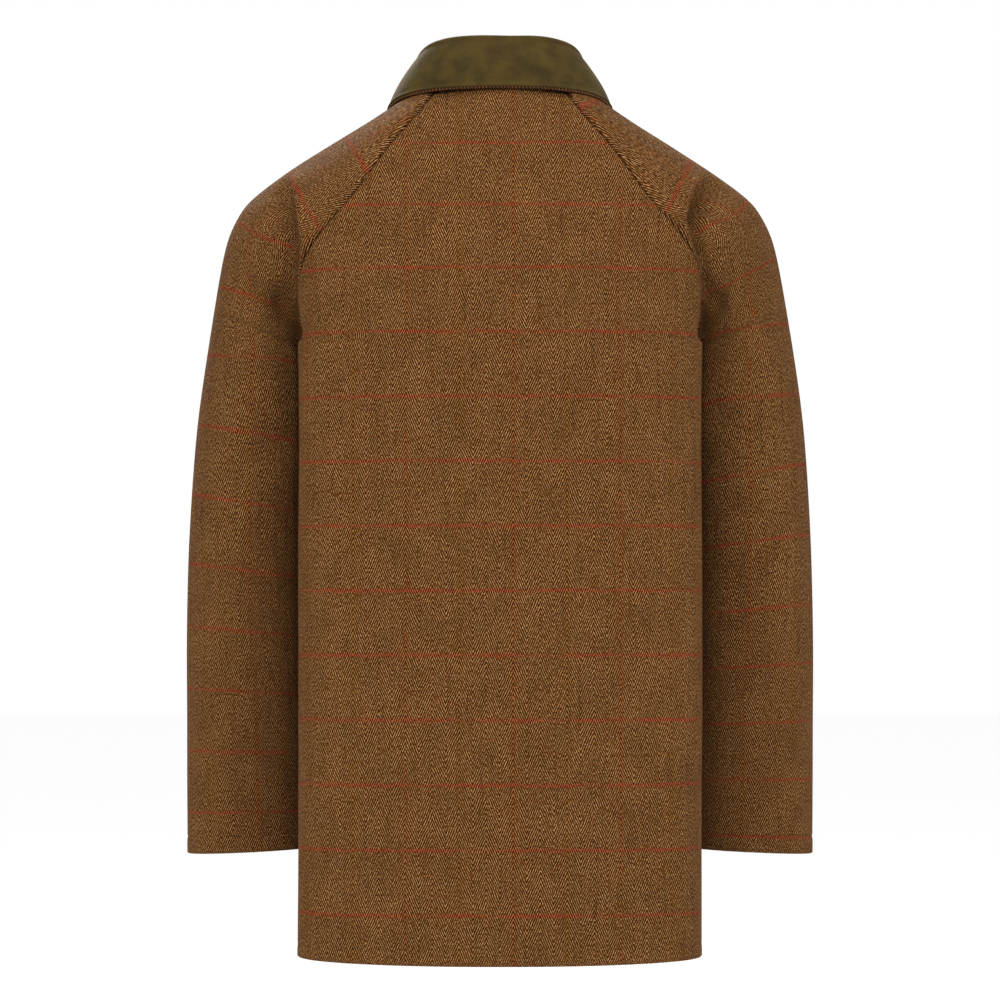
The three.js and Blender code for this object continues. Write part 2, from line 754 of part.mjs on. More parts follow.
// Seats a button over the centre line of a front, at a height. It leans with the front
// there, and stands just clear of it all round.
function seatButton(mesh, triangles, z) {
  const onCentre = new THREE.Vector3(0, BODY(1).frontY, z);
  const out = new THREE.Vector3();
  for (let round = 0; round < CENTRE_ROUNDS; round++) {
    const { height, normal } = heightOver(onCentre, triangles);
    onCentre.y -= height / normal.y;
    out.set(0, normal.y, normal.z).normalize();
  }
  const lean = Math.atan2(out.z, -out.y);
  mesh.rotation.set(Math.PI / 2 - lean, 0, 0);
  for (let round = 0; round < SEAT_ROUNDS; round++) {
    let lowest = Infinity;
    for (const radius of [0, BUTTON_RADIUS / 2, BUTTON_RADIUS]) {
      for (let angle = 0; angle < 2 * Math.PI; angle += Math.PI / 6) {
        const spot = new THREE.Vector3(radius * Math.cos(angle), radius * Math.sin(angle), 0);
        spot.applyEuler(mesh.rotation).add(onCentre);
        lowest = Math.min(lowest, heightOver(spot, triangles).height);
      }
    }
    onCentre.addScaledVector(out, BUTTON_SEAT - lowest);
  }
  mesh.position.copy(onCentre);
}

// Each piece's material has the garment's own colour.
const tweed = () => new THREE.MeshStandardMaterial({ color: 0x69452a, roughness: 0.95 });
const olive = () => new THREE.MeshStandardMaterial({ color: 0x504021, roughness: 0.9 });
const underTweed = () => new THREE.MeshStandardMaterial({ color: 0x4a2f1c, roughness: 0.95 });
const horn = () => new THREE.MeshStandardMaterial({ color: 0x3a2416, roughness: 0.35 });

// A named piece of the jacket.
function piece(name, geometry, material) {
  const mesh = new THREE.Mesh(geometry, material);
  mesh.name = name;
  return mesh;
}

const frontLeft = frontSheet(true);
const panels = [backSheet(), frontLeft, frontSheet(false), sleeveSheet(true), sleeveSheet(false)];
const panelNormals = sharedNormals(panels);
const panelTriangles = trianglesOf(panels);
const frontTriangles = trianglesOf([frontLeft]);

// The collar folds over, so its outer face is the one that shows on the fall.
function collarPiece() {
  const sheet = collarSheet("collar", panelTriangles, 0, 0);
  const wall = wallOf(sheet, sharedNormals([sheet]), 0, -COLLAR_CLOTH, SEAM_GAP / 2);
  return piece("collar", wall, olive());
}

// The undercollar lies against the inside of the fall.
function undercollarPiece() {
  const sheet = collarSheet("undercollar", panelTriangles, FALL_START, UNDERCOLLAR_SHOW);
  const outer = -COLLAR_CLOTH - LAYER_GAP;
  const inner = outer - UNDERCOLLAR_CLOTH;
  const wall = wallOf(sheet, sharedNormals([sheet]), outer, inner, SEAM_GAP / 2);
  return piece("undercollar", wall, underTweed());
}

const jacket = new THREE.Group();
for (const sheet of panels) {
  const wall = wallOf(sheet, panelNormals, 0, -CLOTH, SEAM_GAP / 2);
  jacket.add(piece(sheet.name, wall, tweed()));
}
jacket.add(collarPiece(), undercollarPiece());
for (let i = 0; i < BUTTON_COUNT; i++) {
  const button = piece(`button_${i + 1}`, buttonGeometry(), horn());
  seatButton(button, frontTriangles, BUTTON_TOP_Z - i * BUTTON_STEP);
  jacket.add(button);
}

export default jacket;
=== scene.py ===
# The looks of a raglan-sleeved tweed field jacket, filled out as when it is worn.
# Sizes are in millimetres until a mesh is made. +Z is up and the jacket faces -Y, so its
# left side is at +X. Each cloth piece is a thin shell on its solid's form, worked out from
# the same sizes, with finer rows, its creases, folded hems and sunk seams.
import math

import bpy
import numpy as np
from mathutils import Euler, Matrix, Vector, noise
from mathutils.bvhtree import BVHTree


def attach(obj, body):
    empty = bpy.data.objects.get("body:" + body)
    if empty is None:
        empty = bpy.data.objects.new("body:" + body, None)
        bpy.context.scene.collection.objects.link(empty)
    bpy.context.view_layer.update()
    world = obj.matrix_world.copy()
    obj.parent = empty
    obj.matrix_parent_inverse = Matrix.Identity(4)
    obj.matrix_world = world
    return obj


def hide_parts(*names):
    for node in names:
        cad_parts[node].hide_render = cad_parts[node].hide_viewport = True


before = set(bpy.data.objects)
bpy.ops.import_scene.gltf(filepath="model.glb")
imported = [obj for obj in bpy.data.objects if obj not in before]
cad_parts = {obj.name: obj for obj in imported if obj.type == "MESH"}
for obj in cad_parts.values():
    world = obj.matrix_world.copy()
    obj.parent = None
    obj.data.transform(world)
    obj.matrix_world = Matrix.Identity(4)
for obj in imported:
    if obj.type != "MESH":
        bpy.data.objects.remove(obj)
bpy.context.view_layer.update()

MM = 0.001

# Cloth
CLOTH = 1.5
COLLAR_CLOTH = 1.4
UNDERCOLLAR_CLOTH = 1.0
LAYER_GAP = 0.3

# How finely the pieces are divided
RING_STEPS = 480
ROWS_BELOW = 84
ROWS_ABOVE = 150
BACK_COLUMNS = 54
FRONT_COLUMNS = 54
SLEEVE_COLUMNS = 84
COLLAR_COLUMNS = 200
STAND_STEPS = 8
FOLD_STEPS = 10
FALL_STEPS = 30

# Distances from a seam or hem at which rows and columns lie closer together
NEAR_SEAM = (0, 0.8, 1.7, 2.8, 4.2, 6.2, 9)
NEAR_HEM = (0, 3, 6, 10, 13, 14.6, 16, 17.4, 19, 22)
HEM_LEVELS_PER_MM = 0.15 / 85

# Body
SIDE_SEAM_Y = -24
DENT_Y = -26
DENT_REACH = 60
DENT_FADE = 0.3
BACK_ROW_POWER = 2
FRONT_ROW_POWER = 1.6
LAP = 25
LAP_DROP = 2.8
LAP_RAMP_START = 58
LAP_RAMP_END = 34

# Sleeves
TURN_START = 0.85
TURN_END = 1.07
SEAM_SHARE = 0.4
ARM_CLEARANCE = 4
CONTACT_SOFTNESS = 5
CLEARANCE_LEVELS = 0.06
CLEARANCE_SHARE = 1 / 12
CONTACT_SEAM_SHARE = 0.05
PULL_START = 0.88
ARMHOLE_EASE = 0.13
ARMHOLE_KEPT = 22
ARMHOLE_ROUNDS = 220
CREASE_FADE = 0.5

# Collar
COLLAR_LIFT = 0.45
COLLAR_REACH = 0.985
COLLAR_REST = 4.3
LIFT_ROUNDS = 3
FOLD_RADIUS = 3.6
FALL_BULGE = 3
UNDERCOLLAR_SHOW = 2.4
COLLAR_SHORT = 1.6

# Seams, hems and stitches
SEAM_SINK = 1.5
SEAM_WIDTH = 1.0
SEAM_PUFF_AT = 5
SEAM_PUFF_WIDTH = 3
HEM_FOLD = 1.6
HEM_RUN = 38
HEM_LINE = 16
HEM_LINE_DEPTH = 0.6
HEM_LINE_WIDTH = 1.1
HEM_FULLNESS = 0.25
HEM_FULLNESS_RUN = 4
HEM_TURN_POINTS = 7

# Tweed
RIB = 12.25
TWILL_ACROSS = 2.1
TWILL_ALONG = 4.9
WARP_STEP = 49
WEFT_STEP = 59
LINE_WIDTH = 3.4
WEFT_EDGE = 0.5
WARP_EDGE = 0.7

# Whole steps by which the lines are moved along, so that the map's zero lies among them
LINES_BEFORE = 40.0

# The yarns of the tweed: how fast their colour changes from one to the next, the length of
# a fleck, and how many slubs lie in a metre across and along
YARN_CHANGE = 1.9
FLECK_LENGTH = 1.8
SLUB_ACROSS = 190
SLUB_ALONG = 16


def clamp01(x):
    return np.clip(x, 0, 1)


def smooth_step(x):
    return clamp01(x) ** 2 * (3 - 2 * clamp01(x))


def lerp(a, b, s):
    return a + (b - a) * s


def unit(vectors):
    return vectors / np.maximum(np.linalg.norm(vectors, axis=-1, keepdims=True), 1e-9)


class Table:
    """Named columns keyed by the first one. Called with a key, it gives every column there,
    on a smooth curve through the rows."""

    def __init__(self, header, rows):
        self.names = header.split()
        self.rows = np.array(rows, float)

    def slope(self, i):
        before = self.rows[np.maximum(i - 1, 0)]
        after = self.rows[np.minimum(i + 1, len(self.rows) - 1)]
        return (after - before) / (after[..., :1] - before[..., :1])

    def __call__(self, key):
        key = np.asarray(key, float)
        keys = self.rows[:, 0]
        i = np.clip(np.searchsorted(keys, key) - 1, 0, len(keys) - 2)
        step = (keys[i + 1] - keys[i])[..., None]
        s = clamp01((key - keys[i])[..., None] / step)
        found = (
            (1 + 2 * s) * (1 - s) ** 2 * self.rows[i]
            + s * (1 - s) ** 2 * step * self.slope(i)
            + s * s * (3 - 2 * s) * self.rows[i + 1]
            + s * s * (s - 1) * step * self.slope(i + 1)
        )
        return {name: found[..., c] for c, name in enumerate(self.names)}


# The body's level sections. level is 0 at the hem, 1 at the underarm and 2 at the neck.
# The section is widest at widestY. dent is how far the hanging arm presses the side in.
BODY = Table(
    "level backZ sideZ frontZ backY frontY halfWidth widestY backPower frontPower dent",
    [
        [0.0, -822.5, -812, -824, 139, -150, 187.8, 70, 2.8, 2.8, 8],
        [0.15, -737, -735, -738, 138, -149, 188.5, 70, 2.8, 2.8, 22],
        [0.4, -594, -594, -594, 137, -147, 189, 70, 2.8, 2.8, 24],
        [0.7, -424, -424, -424, 135, -145, 189, 70, 2.8, 2.8, 27],
        [0.9, -310, -310, -310, 136, -144, 189, 70, 2.8, 2.8, 31],
        [1.0, -255, -255, -255, 137, -142, 190, 70, 2.8, 2.8, 34],
        [1.07, -246, -248, -247, 137, -141, 191, 70, 2.8, 2.8, 33],
        [1.15, -226, -230, -238, 137, -140, 193, 69, 2.7, 2.7, 29],
        [1.3, -177, -182, -216, 134, -135, 200, 62, 2.6, 2.6, 16],
        [1.42, -150, -150, -196, 129, -129, 203, 54, 2.6, 2.5, 7],
        [1.55, -117, -118, -172, 122, -120, 198, 42, 2.6, 2.4, 2],
        [1.7, -72, -78, -143, 110, -108, 172, 24, 2.4, 2.3, 0],
        [1.85, -33, -49, -112, 94, -94, 120, 8, 2.2, 2.1, 0],
        [2.0, 2, -19, -80, 72, -80, 74, -2, 2.0, 2.0, 0],
    ],
)

# The sleeves' outline and sections. ridgeX and ridgeZ run over the shoulder and down the
# arm. Above the underarm a ring is open, and opening is how far past its half it reaches.
SLEEVE = Table(
    "level ridgeX ridgeZ centreY halfWidth halfDepth tilt opening power",
    [
        [0.0, 300.5, -731.5, -44, 60, 46, -2.5, 90, 2.1],
        [0.2, 300, -626, -37, 60, 50, 1, 90, 2.1],
        [0.4, 299.5, -523, -30, 60, 55, 4.5, 90, 2.1],
        [0.6, 296.5, -420, -24, 60, 61, 8, 90, 2.1],
        [0.8, 289, -318, -18, 60, 68, 12, 90, 2.1],
        [0.93, 279.5, -250, -15, 60.5, 74, 15.5, 90, 2.05],
        [1.0, 272, -216, -13, 60.3, 77, 18, 90, 2.0],
        [1.07, 265.5, -184, -13, 60, 79, 20, 65, 2.0],
        [1.15, 257, -153, -13, 60, 80, 20, 40, 2.0],
        [1.22, 247.5, -132, -13, 60, 80, 20, 20, 2.0],
        [1.3, 234, -112, -13, 60, 80, 20, 7, 1.95],
        [1.42, 203, -87, -13, 60, 80, 20, 0, 1.9],
        [1.55, 162, -60.5, -13, 60, 80, 20, 0, 1.85],
        [1.7, 125, -38.5, -13, 60, 80, 20, 0, 1.85],
        [1.85, 97, -20.5, -13, 60, 80, 20, 0, 1.9],
        [2.0, 75, -6, -13, 60, 80, 20, 0, 2.0],
    ],
)


def body_side(level, y):
    """How far out the body's side lies at a given Y, at a level."""
    b = BODY(level)
    back = y > b["widestY"]
    reach = np.where(back, b["backY"] - b["widestY"], b["widestY"] - b["frontY"])
    power = np.where(back, b["backPower"], b["frontPower"])
    share = np.minimum(np.abs(y - b["widestY"]) / reach, 1)
    dent = b["dent"] * np.exp(-(((y - DENT_Y) / DENT_REACH) ** 2))
    return np.maximum(b["halfWidth"] * (1 - share**power) ** (1 / power) - dent, 0)


UNDERARM = [float(body_side(1, SIDE_SEAM_Y)), SIDE_SEAM_Y, float(BODY(1)["sideZ"])]

# The raglan seams, from the underarm to the neck
BACK_SEAM = Table(
    "level x y z",
    [
        [1.0, *UNDERARM],
        [1.07, 159, 20, -246],
        [1.15, 179, 48, -226],
        [1.22, 187, 73, -202],
        [1.3, 182, 93, -177],
        [1.42, 164, 106, -150],
        [1.55, 135, 112, -117],
        [1.7, 103, 103, -72],
        [1.85, 72, 84, -33],
        [2.0, 52, 50, 0],
    ],
)
FRONT_SEAM = Table(
    "level x y z",
    [
        [1.0, *UNDERARM],
        [1.07, 146, -47, -248],
        [1.15, 147, -75, -230],
        [1.22, 147, -91, -207],
        [1.3, 140, -106, -182],
        [1.42, 128, -113, -150],
        [1.55, 112, -112, -118],
        [1.7, 92, -98, -78],
        [1.85, 77, -73, -49],
        [2.0, 63, -40, -19],
    ],
)

# The collar's fold line and outer edge. along is the share of the neck seam from the
# centre back to the centre front.
COLLAR = Table(
    "along foldX foldY foldZ edgeX edgeY edgeZ",
    [
        [0.0, 0, 79, 35, 0, 88.5, -15],
        [0.12, 34, 75, 35, 43, 85, -15.5],
        [0.22, 57, 61, 33.5, 71, 75, -17],
        [0.32, 71, 40, 29.5, 93, 53, -19.5],
        [0.42, 77, 12, 22.5, 106, 14, -22],
        [0.52, 75, -16, 11, 109, -28, -30],
        [0.6, 68, -38, -3, 105, -64, -43],
        [0.7, 55, -56, -19, 95, -92, -60],
        [0.8, 42, -71, -40, 79, -106, -88],
        [0.9, 25, -82, -59, 63, -111, -110],
        [1.0, 3, -88, -71, 48, -115, -127],
    ],
)


def armhole_crease(side, face, reach, bulge, take, *chain):
    """A crease beside an armhole, where cloth hangs over its inner slope."""
    inner, outer = reach
    return {
        "side": side, "face": face, "inner": inner, "outer": outer, "bulge": bulge,
        "take": take, "chain": chain,
    }


def soft_crease(side, face, reach, *chain):
    """A shallow crease with slopes that are alike."""
    return armhole_crease(side, face, (reach, reach), 0, 0, *chain)


# Creases on the sleeves, each a chain of points seen square on from behind or in front: X, Z
# and the depth there. The first number is 1 for the jacket's left side and the second is 1
# for the back. Then comes how far a crease's slopes reach towards the body and away from it,
# the height of the cloth that hangs over its inner slope, and the length of cloth that it
# swallows at its lower end.
CREASES = (
    armhole_crease(
        1, 1, (4, 17), 3, 32,
        (202, -94, 0), (199, -104, 11), (196, -122, 18), (193, -142, 18), (190, -160, 15),
        (189, -178, 10), (188, -204, 7), (187, -232, 3), (187, -262, 0),
    ),
    armhole_crease(
        -1, 1, (4, 15), 3, 32,
        (200, -92, 0), (195, -101, 10), (184, -115, 18), (178, -138, 18), (180, -157, 12),
        (184, -176, 10), (187, -202, 7), (187, -232, 3), (187, -262, 0),
    ),
    armhole_crease(
        1, -1, (6, 17), 1.5, 18,
        (180, -118, 0), (176, -128, 6), (168, -160, 10), (165, -190, 9), (166, -240, 3),
    ),
    armhole_crease(
        -1, -1, (6, 17), 1.5, 18,
        (182, -114, 0), (178, -124, 6), (170, -158, 10), (166, -188, 9), (166, -240, 3),
    ),
    soft_crease(1, 1, 15, (198, -204, 4), (206, -216, 7), (232, -238, 0)),
    soft_crease(-1, 1, 9, (188, -196, 4), (202, -213, 6), (226, -232, 0)),
    soft_crease(1, 1, 14, (196, -326, 0), (214, -350, 4), (246, -368, 3), (278, -376, 0)),
    soft_crease(-1, 1, 14, (196, -296, 0), (210, -320, 4), (240, -344, 3), (274, -354, 0)),
    soft_crease(1, -1, 13, (196, -400, 0), (220, -424, 3), (252, -436, 2.5), (284, -434, 0)),
    soft_crease(-1, -1, 13, (194, -388, 0), (216, -410, 3), (250, -424, 2.5), (282, -424, 0)),
)
CREASE_POWER = 1.7
BULGE_AT = 9
BULGE_WIDTH = 6
BULGE_FULL_DEPTH = 8
TAKE_INSIDE = 0.4
TAKE_REACH = 58
TAKE_EDGE = 5
TAKE_GROWTH = 1.8


def lengths_of(points):
    """The lengths along a chain of points, from its first point."""
    steps = np.linalg.norm(np.diff(points, axis=0), axis=-1)
    return np.concatenate([[0], np.cumsum(steps)])


def points_at(points, lengths, at):
    """The points at some lengths along a chain."""
    return np.stack([np.interp(at, lengths, points[:, k]) for k in range(3)], -1)


def seam_point(seam, level):
    at = seam(level)
    return np.array([at["x"], at["y"], at["z"]])


def body_ring(level):
    """Half of the body's section at a level, from the centre back to the centre front."""
    b = BODY(level)
    angle = np.linspace(0, math.pi, RING_STEPS + 1)
    back = angle < math.pi / 2
    power = 2 / np.where(back, b["backPower"], b["frontPower"])
    reach = np.where(back, b["backY"] - b["widestY"], b["widestY"] - b["frontY"])
    along = np.sign(np.cos(angle)) * np.abs(np.cos(angle)) ** power
    y = b["widestY"] + reach * along
    wide = b["halfWidth"] * np.abs(np.sin(angle)) ** power
    dent = b["dent"] * np.exp(-(((y - DENT_Y) / DENT_REACH) ** 2))
    fade = smooth_step(wide / (b["halfWidth"] * DENT_FADE))
    return np.stack([wide - dent * fade, y, np.zeros_like(y)], -1)


def length_nearest(ring, lengths, target):
    """The length along a ring to its point nearest to a target, seen from above."""
    start, step = ring[:-1, :2], np.diff(ring[:, :2], axis=0)
    s = clamp01(((target[:2] - start) * step).sum(1) / np.maximum((step**2).sum(1), 1e-12))
    distance = np.linalg.norm(start + step * s[:, None] - target[:2], axis=1)
    i = int(np.argmin(distance))
    return lerp(lengths[i], lengths[i + 1], s[i])


def spaced(start, end, count, near_start, near_end):
    """Positions from start to end, closer together near the ends that ask for it."""
    low = np.array(NEAR_SEAM if near_start else (0,))
    high = np.array(NEAR_SEAM if near_end else (0,))
    middle = np.linspace(start + low[-1], end - high[-1], count)
    return np.concatenate([start + low[:-1], middle, end - high[-2::-1]])


def body_row(level, is_back, count, over):
    """A row of a body panel on the +X side and the lengths along it, from over past the
    centre line out to its seam. It follows the section, and its end is drawn onto the seam."""
    ring = body_ring(level) if is_back else body_ring(level)[::-1]
    lengths = lengths_of(ring)
    b = BODY(level)
    if level <= 1:
        end = np.array([body_side(level, SIDE_SEAM_Y), SIDE_SEAM_Y, b["sideZ"]])
    else:
        end = seam_point(BACK_SEAM if is_back else FRONT_SEAM, level)
    whole = length_nearest(ring, lengths, end)
    ring_end = points_at(ring, lengths, np.array([whole]))[0]
    at = spaced(-over, whole, count, over > 0, True)
    share = at / whole
    row = points_at(ring, lengths, np.abs(at))
    pull = np.where(share > 0, share**2, 0)
    row[:, 0] = np.sign(at) * row[:, 0] + (end[0] - ring_end[0]) * pull
    row[:, 1] += (end[1] - ring_end[1]) * pull
    power = BACK_ROW_POWER if is_back else FRONT_ROW_POWER
    row[:, 2] = lerp(b["backZ" if is_back else "frontZ"], end[2], np.abs(share) ** power)
    return row, at, whole - at


LEVEL_STEPS = np.linspace(0, 1, 400)
SIDE_HEIGHTS = BODY(LEVEL_STEPS)["sideZ"]


def clear_of_body(points, clearance):
    """Moves points of the sleeve out of the body's side, with a soft edge to the contact."""
    level = np.interp(points[:, 2], SIDE_HEIGHTS, LEVEL_STEPS)
    push = body_side(level, points[:, 1]) + clearance - points[:, 0]
    soft = CONTACT_SOFTNESS
    eased = (push + soft) ** 2 / (4 * soft)
    points[:, 0] += np.where(push > soft, push, np.where(push > -soft, eased, 0))


def sleeve_arc(level):
    """The left sleeve's section at a level, from the back seam over the outer side to the
    front seam. Below the underarm it is a whole ring that starts at the underarm seam."""
    s = {name: float(value) for name, value in SLEEVE(level).items()}
    hanging = {name: float(value) for name, value in SLEEVE(min(level, 1)).items()}
    back = seam_point(BACK_SEAM, max(level, 1))
    front = seam_point(FRONT_SEAM, max(level, 1))
    turned = max(level, TURN_END)
    across = unit(seam_point(BACK_SEAM, turned) - seam_point(FRONT_SEAM, turned))
    turn = smooth_step((level - TURN_START) / (TURN_END - TURN_START))
    depthwise = unit(lerp(np.array([0.0, 1.0, 0.0]), across, turn))
    middle = (back + front) / 2
    rise = smooth_step((level - 1) / (TURN_END - 1))
    ridge = np.array([s["ridgeX"], lerp(s["centreY"], middle[1], rise), s["ridgeZ"]])
    tilt = math.radians(hanging["tilt"])
    outward = np.array([math.cos(tilt), 0, math.sin(tilt)])
    opening = math.radians(90)
    half_width, half_depth = hanging["halfWidth"], hanging["halfDepth"]
    if level > 1:
        opening = math.radians(s["opening"])
        span = ridge - [middle[0], ridge[1], middle[2]]
        outward = unit(lerp(outward, unit(span), rise))
        spanned = np.linalg.norm(span) / (1 + math.sin(opening))
        half_width = lerp(half_width, spanned, rise)
        spanning = np.linalg.norm(back - front) / (2 * max(math.cos(opening), 0.1))
        half_depth = lerp(half_depth, spanning, rise)
    centre = ridge - outward * half_width
    angle = np.linspace(-opening, math.pi + opening, RING_STEPS + 1)
    c, n = np.cos(angle), np.sin(angle)
    power = 2 / s["power"]
    depth = half_depth * np.sign(c) * np.abs(c) ** power
    out = half_width * np.sign(n) * np.abs(n) ** power
    return centre + depth[:, None] * depthwise + out[:, None] * outward


def seam_pulls(level, row):
    """How far the two ends of a sleeve's row lie from where its seams draw them."""
    if level < 1:
        grown = smooth_step((level - PULL_START) / (1 - PULL_START))
        pull = (np.array(UNDERARM) - sleeve_arc(1)[0]) * grown
        return pull, pull
    return seam_point(BACK_SEAM, level) - row[0], seam_point(FRONT_SEAM, level) - row[-1]


def sleeve_row(level):
    """A row of the left sleeve with the lengths along it. Its ends are drawn onto the raglan
    seams, or towards the underarm below them, and its inner side is kept clear of the body."""
    arc = sleeve_arc(level)
    lengths = lengths_of(arc)
    whole = lengths[-1]
    at = spaced(0, whole, SLEEVE_COLUMNS, True, True)
    share = at / whole
    row = points_at(arc, lengths, at)
    to_back, to_front = seam_pulls(level, row)
    row += clamp01(1 - share / SEAM_SHARE)[:, None] ** 2 * to_back
    row += clamp01(1 - (1 - share) / SEAM_SHARE)[:, None] ** 2 * to_front
    from_seam = np.minimum(share, 1 - share)
    by_level = smooth_step((1 - level) / CLEARANCE_LEVELS)
    grown = np.maximum(by_level, smooth_step(from_seam / CLEARANCE_SHARE))
    pushed = row.copy()
    clear_of_body(pushed, ARM_CLEARANCE * grown)
    near_top = smooth_step((level - 1 + CLEARANCE_LEVELS) / CLEARANCE_LEVELS)
    by_seam = lerp(1, smooth_step(from_seam / CONTACT_SEAM_SHARE), near_top)
    by_height = 1 - smooth_step((level - 1) / CLEARANCE_LEVELS)
    row = lerp(row, pushed, (by_seam * by_height)[:, None])
    at = lengths_of(row)
    return row, at - at[-1] / 2, np.minimum(at, at[-1] - at)


def levels():
    """The levels of the rows, closer together near the hem."""
    hem = np.array(NEAR_HEM) * HEM_LEVELS_PER_MM
    below = np.linspace(hem[-1], 1, ROWS_BELOW)
    above = np.linspace(1, 2, ROWS_ABOVE)
    return np.concatenate([hem[:-1], below, above[1:]])


LEVELS = levels()


class Panel:
    """A grid of points in rows from the hem up, with each point's place in the cloth, and
    its distance from the nearest seam and from the hem."""

    def __init__(self, name, rows, across, seams, up):
        self.name = name
        self.points = np.array(rows)
        self.across = np.array(across)
        self.seams = np.array(seams)
        self.up = up

    def mirrored(self, name):
        rows = (self.points * [-1, 1, 1])[:, ::-1]
        return Panel(name, rows, -self.across[:, ::-1], self.seams[:, ::-1], self.up[:, ::-1])


def back_panel():
    rows, across, seams = [], [], []
    for level in LEVELS:
        row, at, seam = body_row(level, True, BACK_COLUMNS, 0)
        rows.append(np.concatenate([row[::-1], (row * [-1, 1, 1])[1:]]))
        across.append(np.concatenate([at[::-1], -at[1:]]))
        seams.append(np.concatenate([seam[::-1], seam[1:]]))
    points = np.array(rows)
    return Panel("back", rows, across, seams, up_from(points, points.shape[1] // 2))


def up_from(points, column):
    """How far up the cloth each point lies, from the heights of one column."""
    return np.interp(points[..., 2], points[:, column, 2], lengths_of(points[:, column]))


def front_panel():
    """The left front. The right one is its mirror image, with its lap pressed under."""
    found = [body_row(level, False, FRONT_COLUMNS, LAP) for level in LEVELS]
    rows, across, seams = zip(*found)
    points = np.array(rows)
    centre = int(np.argmin(np.abs(across[0])))
    return Panel("front_left", rows, across, seams, up_from(points, centre))


def sleeve_panel():
    found = [sleeve_row(level) for level in LEVELS]
    rows, across, seams = zip(*[[part[::-1] for part in row] for row in found])
    points = eased_armhole(np.array(rows), np.array(seams))
    heights = lengths_of(points[:, points.shape[1] // 2])
    up = np.repeat(heights[:, None], points.shape[1], axis=1)
    return Panel("sleeve_left", points, across, seams, up)


def eased_armhole(points, seams):
    """A sleeve's points with the turn from its ring into its open part eased."""
    near_underarm = np.exp(-(((LEVELS - 1) / ARMHOLE_EASE) ** 2))[:, None]
    weight = near_underarm * smooth_step(seams / ARMHOLE_KEPT)
    weight = weight[1:-1, :, None] / 2
    for _ in range(ARMHOLE_ROUNDS):
        middle = (points[:-2] + points[2:]) / 2
        points[1:-1] = lerp(points[1:-1], middle, weight)
    return points


def face_crosses(points):
    """The cross products of a grid's faces' diagonals, which point out."""
    a, b = points[:-1, :-1], points[:-1, 1:]
    c, d = points[1:, 1:], points[1:, :-1]
    return np.cross(c - a, d - b)


def corner_sums(crosses):
    """What each point of a grid gets from the faces round it."""
    rows, columns = crosses.shape[:2]
    total = np.zeros((rows + 1, columns + 1, 3))
    for r in (0, 1):
        for c in (0, 1):
            total[r : r + rows, c : c + columns] += crosses
    return total


# Points that round to the same fiftieth of a millimetre coincide
ROUNDS_PER_MM = 50


def shared_normals(grids):
    """The outward normals of some grids' points. Points that coincide share one."""
    sums = [corner_sums(face_crosses(g)).reshape(-1, 3) for g in grids]
    keys = np.round(np.concatenate([g.reshape(-1, 3) for g in grids]) * ROUNDS_PER_MM)
    _, inverse = np.unique(keys, axis=0, return_inverse=True)
    inverse = inverse.ravel()
    total = np.zeros((inverse.max() + 1, 3))
    np.add.at(total, inverse, np.concatenate(sums))
    normals = unit(total)[inverse]
    ends = np.cumsum([len(s) for s in sums])[:-1]
    return [n.reshape(g.shape) for n, g in zip(np.split(normals, ends), grids)]


def crease_nearest(crease, points):
    """For points seen square on: the distance from a crease, above 0 on its outer side, its
    depth at the nearest place, and that place's share of its length."""
    flat = np.stack([np.abs(points[..., 0]), points[..., 2]], -1)
    chain = np.array(crease["chain"], float)
    lengths = lengths_of(chain[:, :2])
    best = np.full(points.shape[:-1], np.inf)
    signed, depth, share = np.zeros_like(best), np.zeros_like(best), np.zeros_like(best)
    for i in range(len(chain) - 1):
        step = chain[i + 1, :2] - chain[i, :2]
        away = flat - chain[i, :2]
        s = clamp01(away @ step / (step @ step))
        distance = np.linalg.norm(away - s[..., None] * step, axis=-1)
        outer = np.sign(away[..., 1] * step[0] - away[..., 0] * step[1])
        nearer = distance < best
        best = np.where(nearer, distance, best)
        signed = np.where(nearer, distance * outer, signed)
        depth = np.where(nearer, lerp(chain[i, 2], chain[i + 1, 2], s), depth)
        share = np.where(nearer, lerp(lengths[i], lengths[i + 1], s) / lengths[-1], share)
    return signed, depth, share


def crease_weight(crease, points, normals):
    """1 where a sleeve's surface faces the way that a crease is seen from."""
    here = (crease["side"] * points[..., 0] > 0) & (crease["face"] * normals[..., 1] > 0)
    return here * smooth_step(np.abs(normals[..., 1]) / CREASE_FADE)


def crease_relief(points, normals):
    """How the creases lower a sleeve's surface, and raise it beside their inner slopes."""
    relief = np.zeros(points.shape[:-1])
    for crease in CREASES:
        away, depth, _ = crease_nearest(crease, points)
        reach = np.where(away < 0, crease["inner"], crease["outer"])
        trough = depth * np.exp(-(np.abs(away / reach) ** CREASE_POWER))
        bulge = crease["bulge"] * clamp01(depth / BULGE_FULL_DEPTH)
        bulge = bulge * np.exp(-(((away + BULGE_AT) / BULGE_WIDTH) ** 2))
        relief += (bulge - trough) * crease_weight(crease, points, normals)
    return relief


def cloth_taken(points, normals):
    """How far the cloth's pattern shifts along a sleeve beside the creases that swallow it."""
    shift = np.zeros(points.shape[:-1])
    for crease in CREASES:
        away, _, share = crease_nearest(crease, points)
        inside = TAKE_INSIDE * smooth_step(0.5 - away / (2 * TAKE_EDGE))
        outside = (1 - TAKE_INSIDE) * smooth_step(0.5 + away / (2 * TAKE_EDGE))
        fade = np.exp(-((away / TAKE_REACH) ** 2)) * crease["take"]
        grown = smooth_step(share * TAKE_GROWTH)
        shift += (inside - outside) * fade * grown * crease_weight(crease, points, normals)
    return shift


def soft_noise(points, size, seed):
    """Smooth noise from about -1 to 1, with lumps of a size."""
    flat = points.reshape(-1, 3) / size + seed
    found = [noise.noise(Vector(p)) for p in flat]
    return np.array(found).reshape(points.shape[:-1])


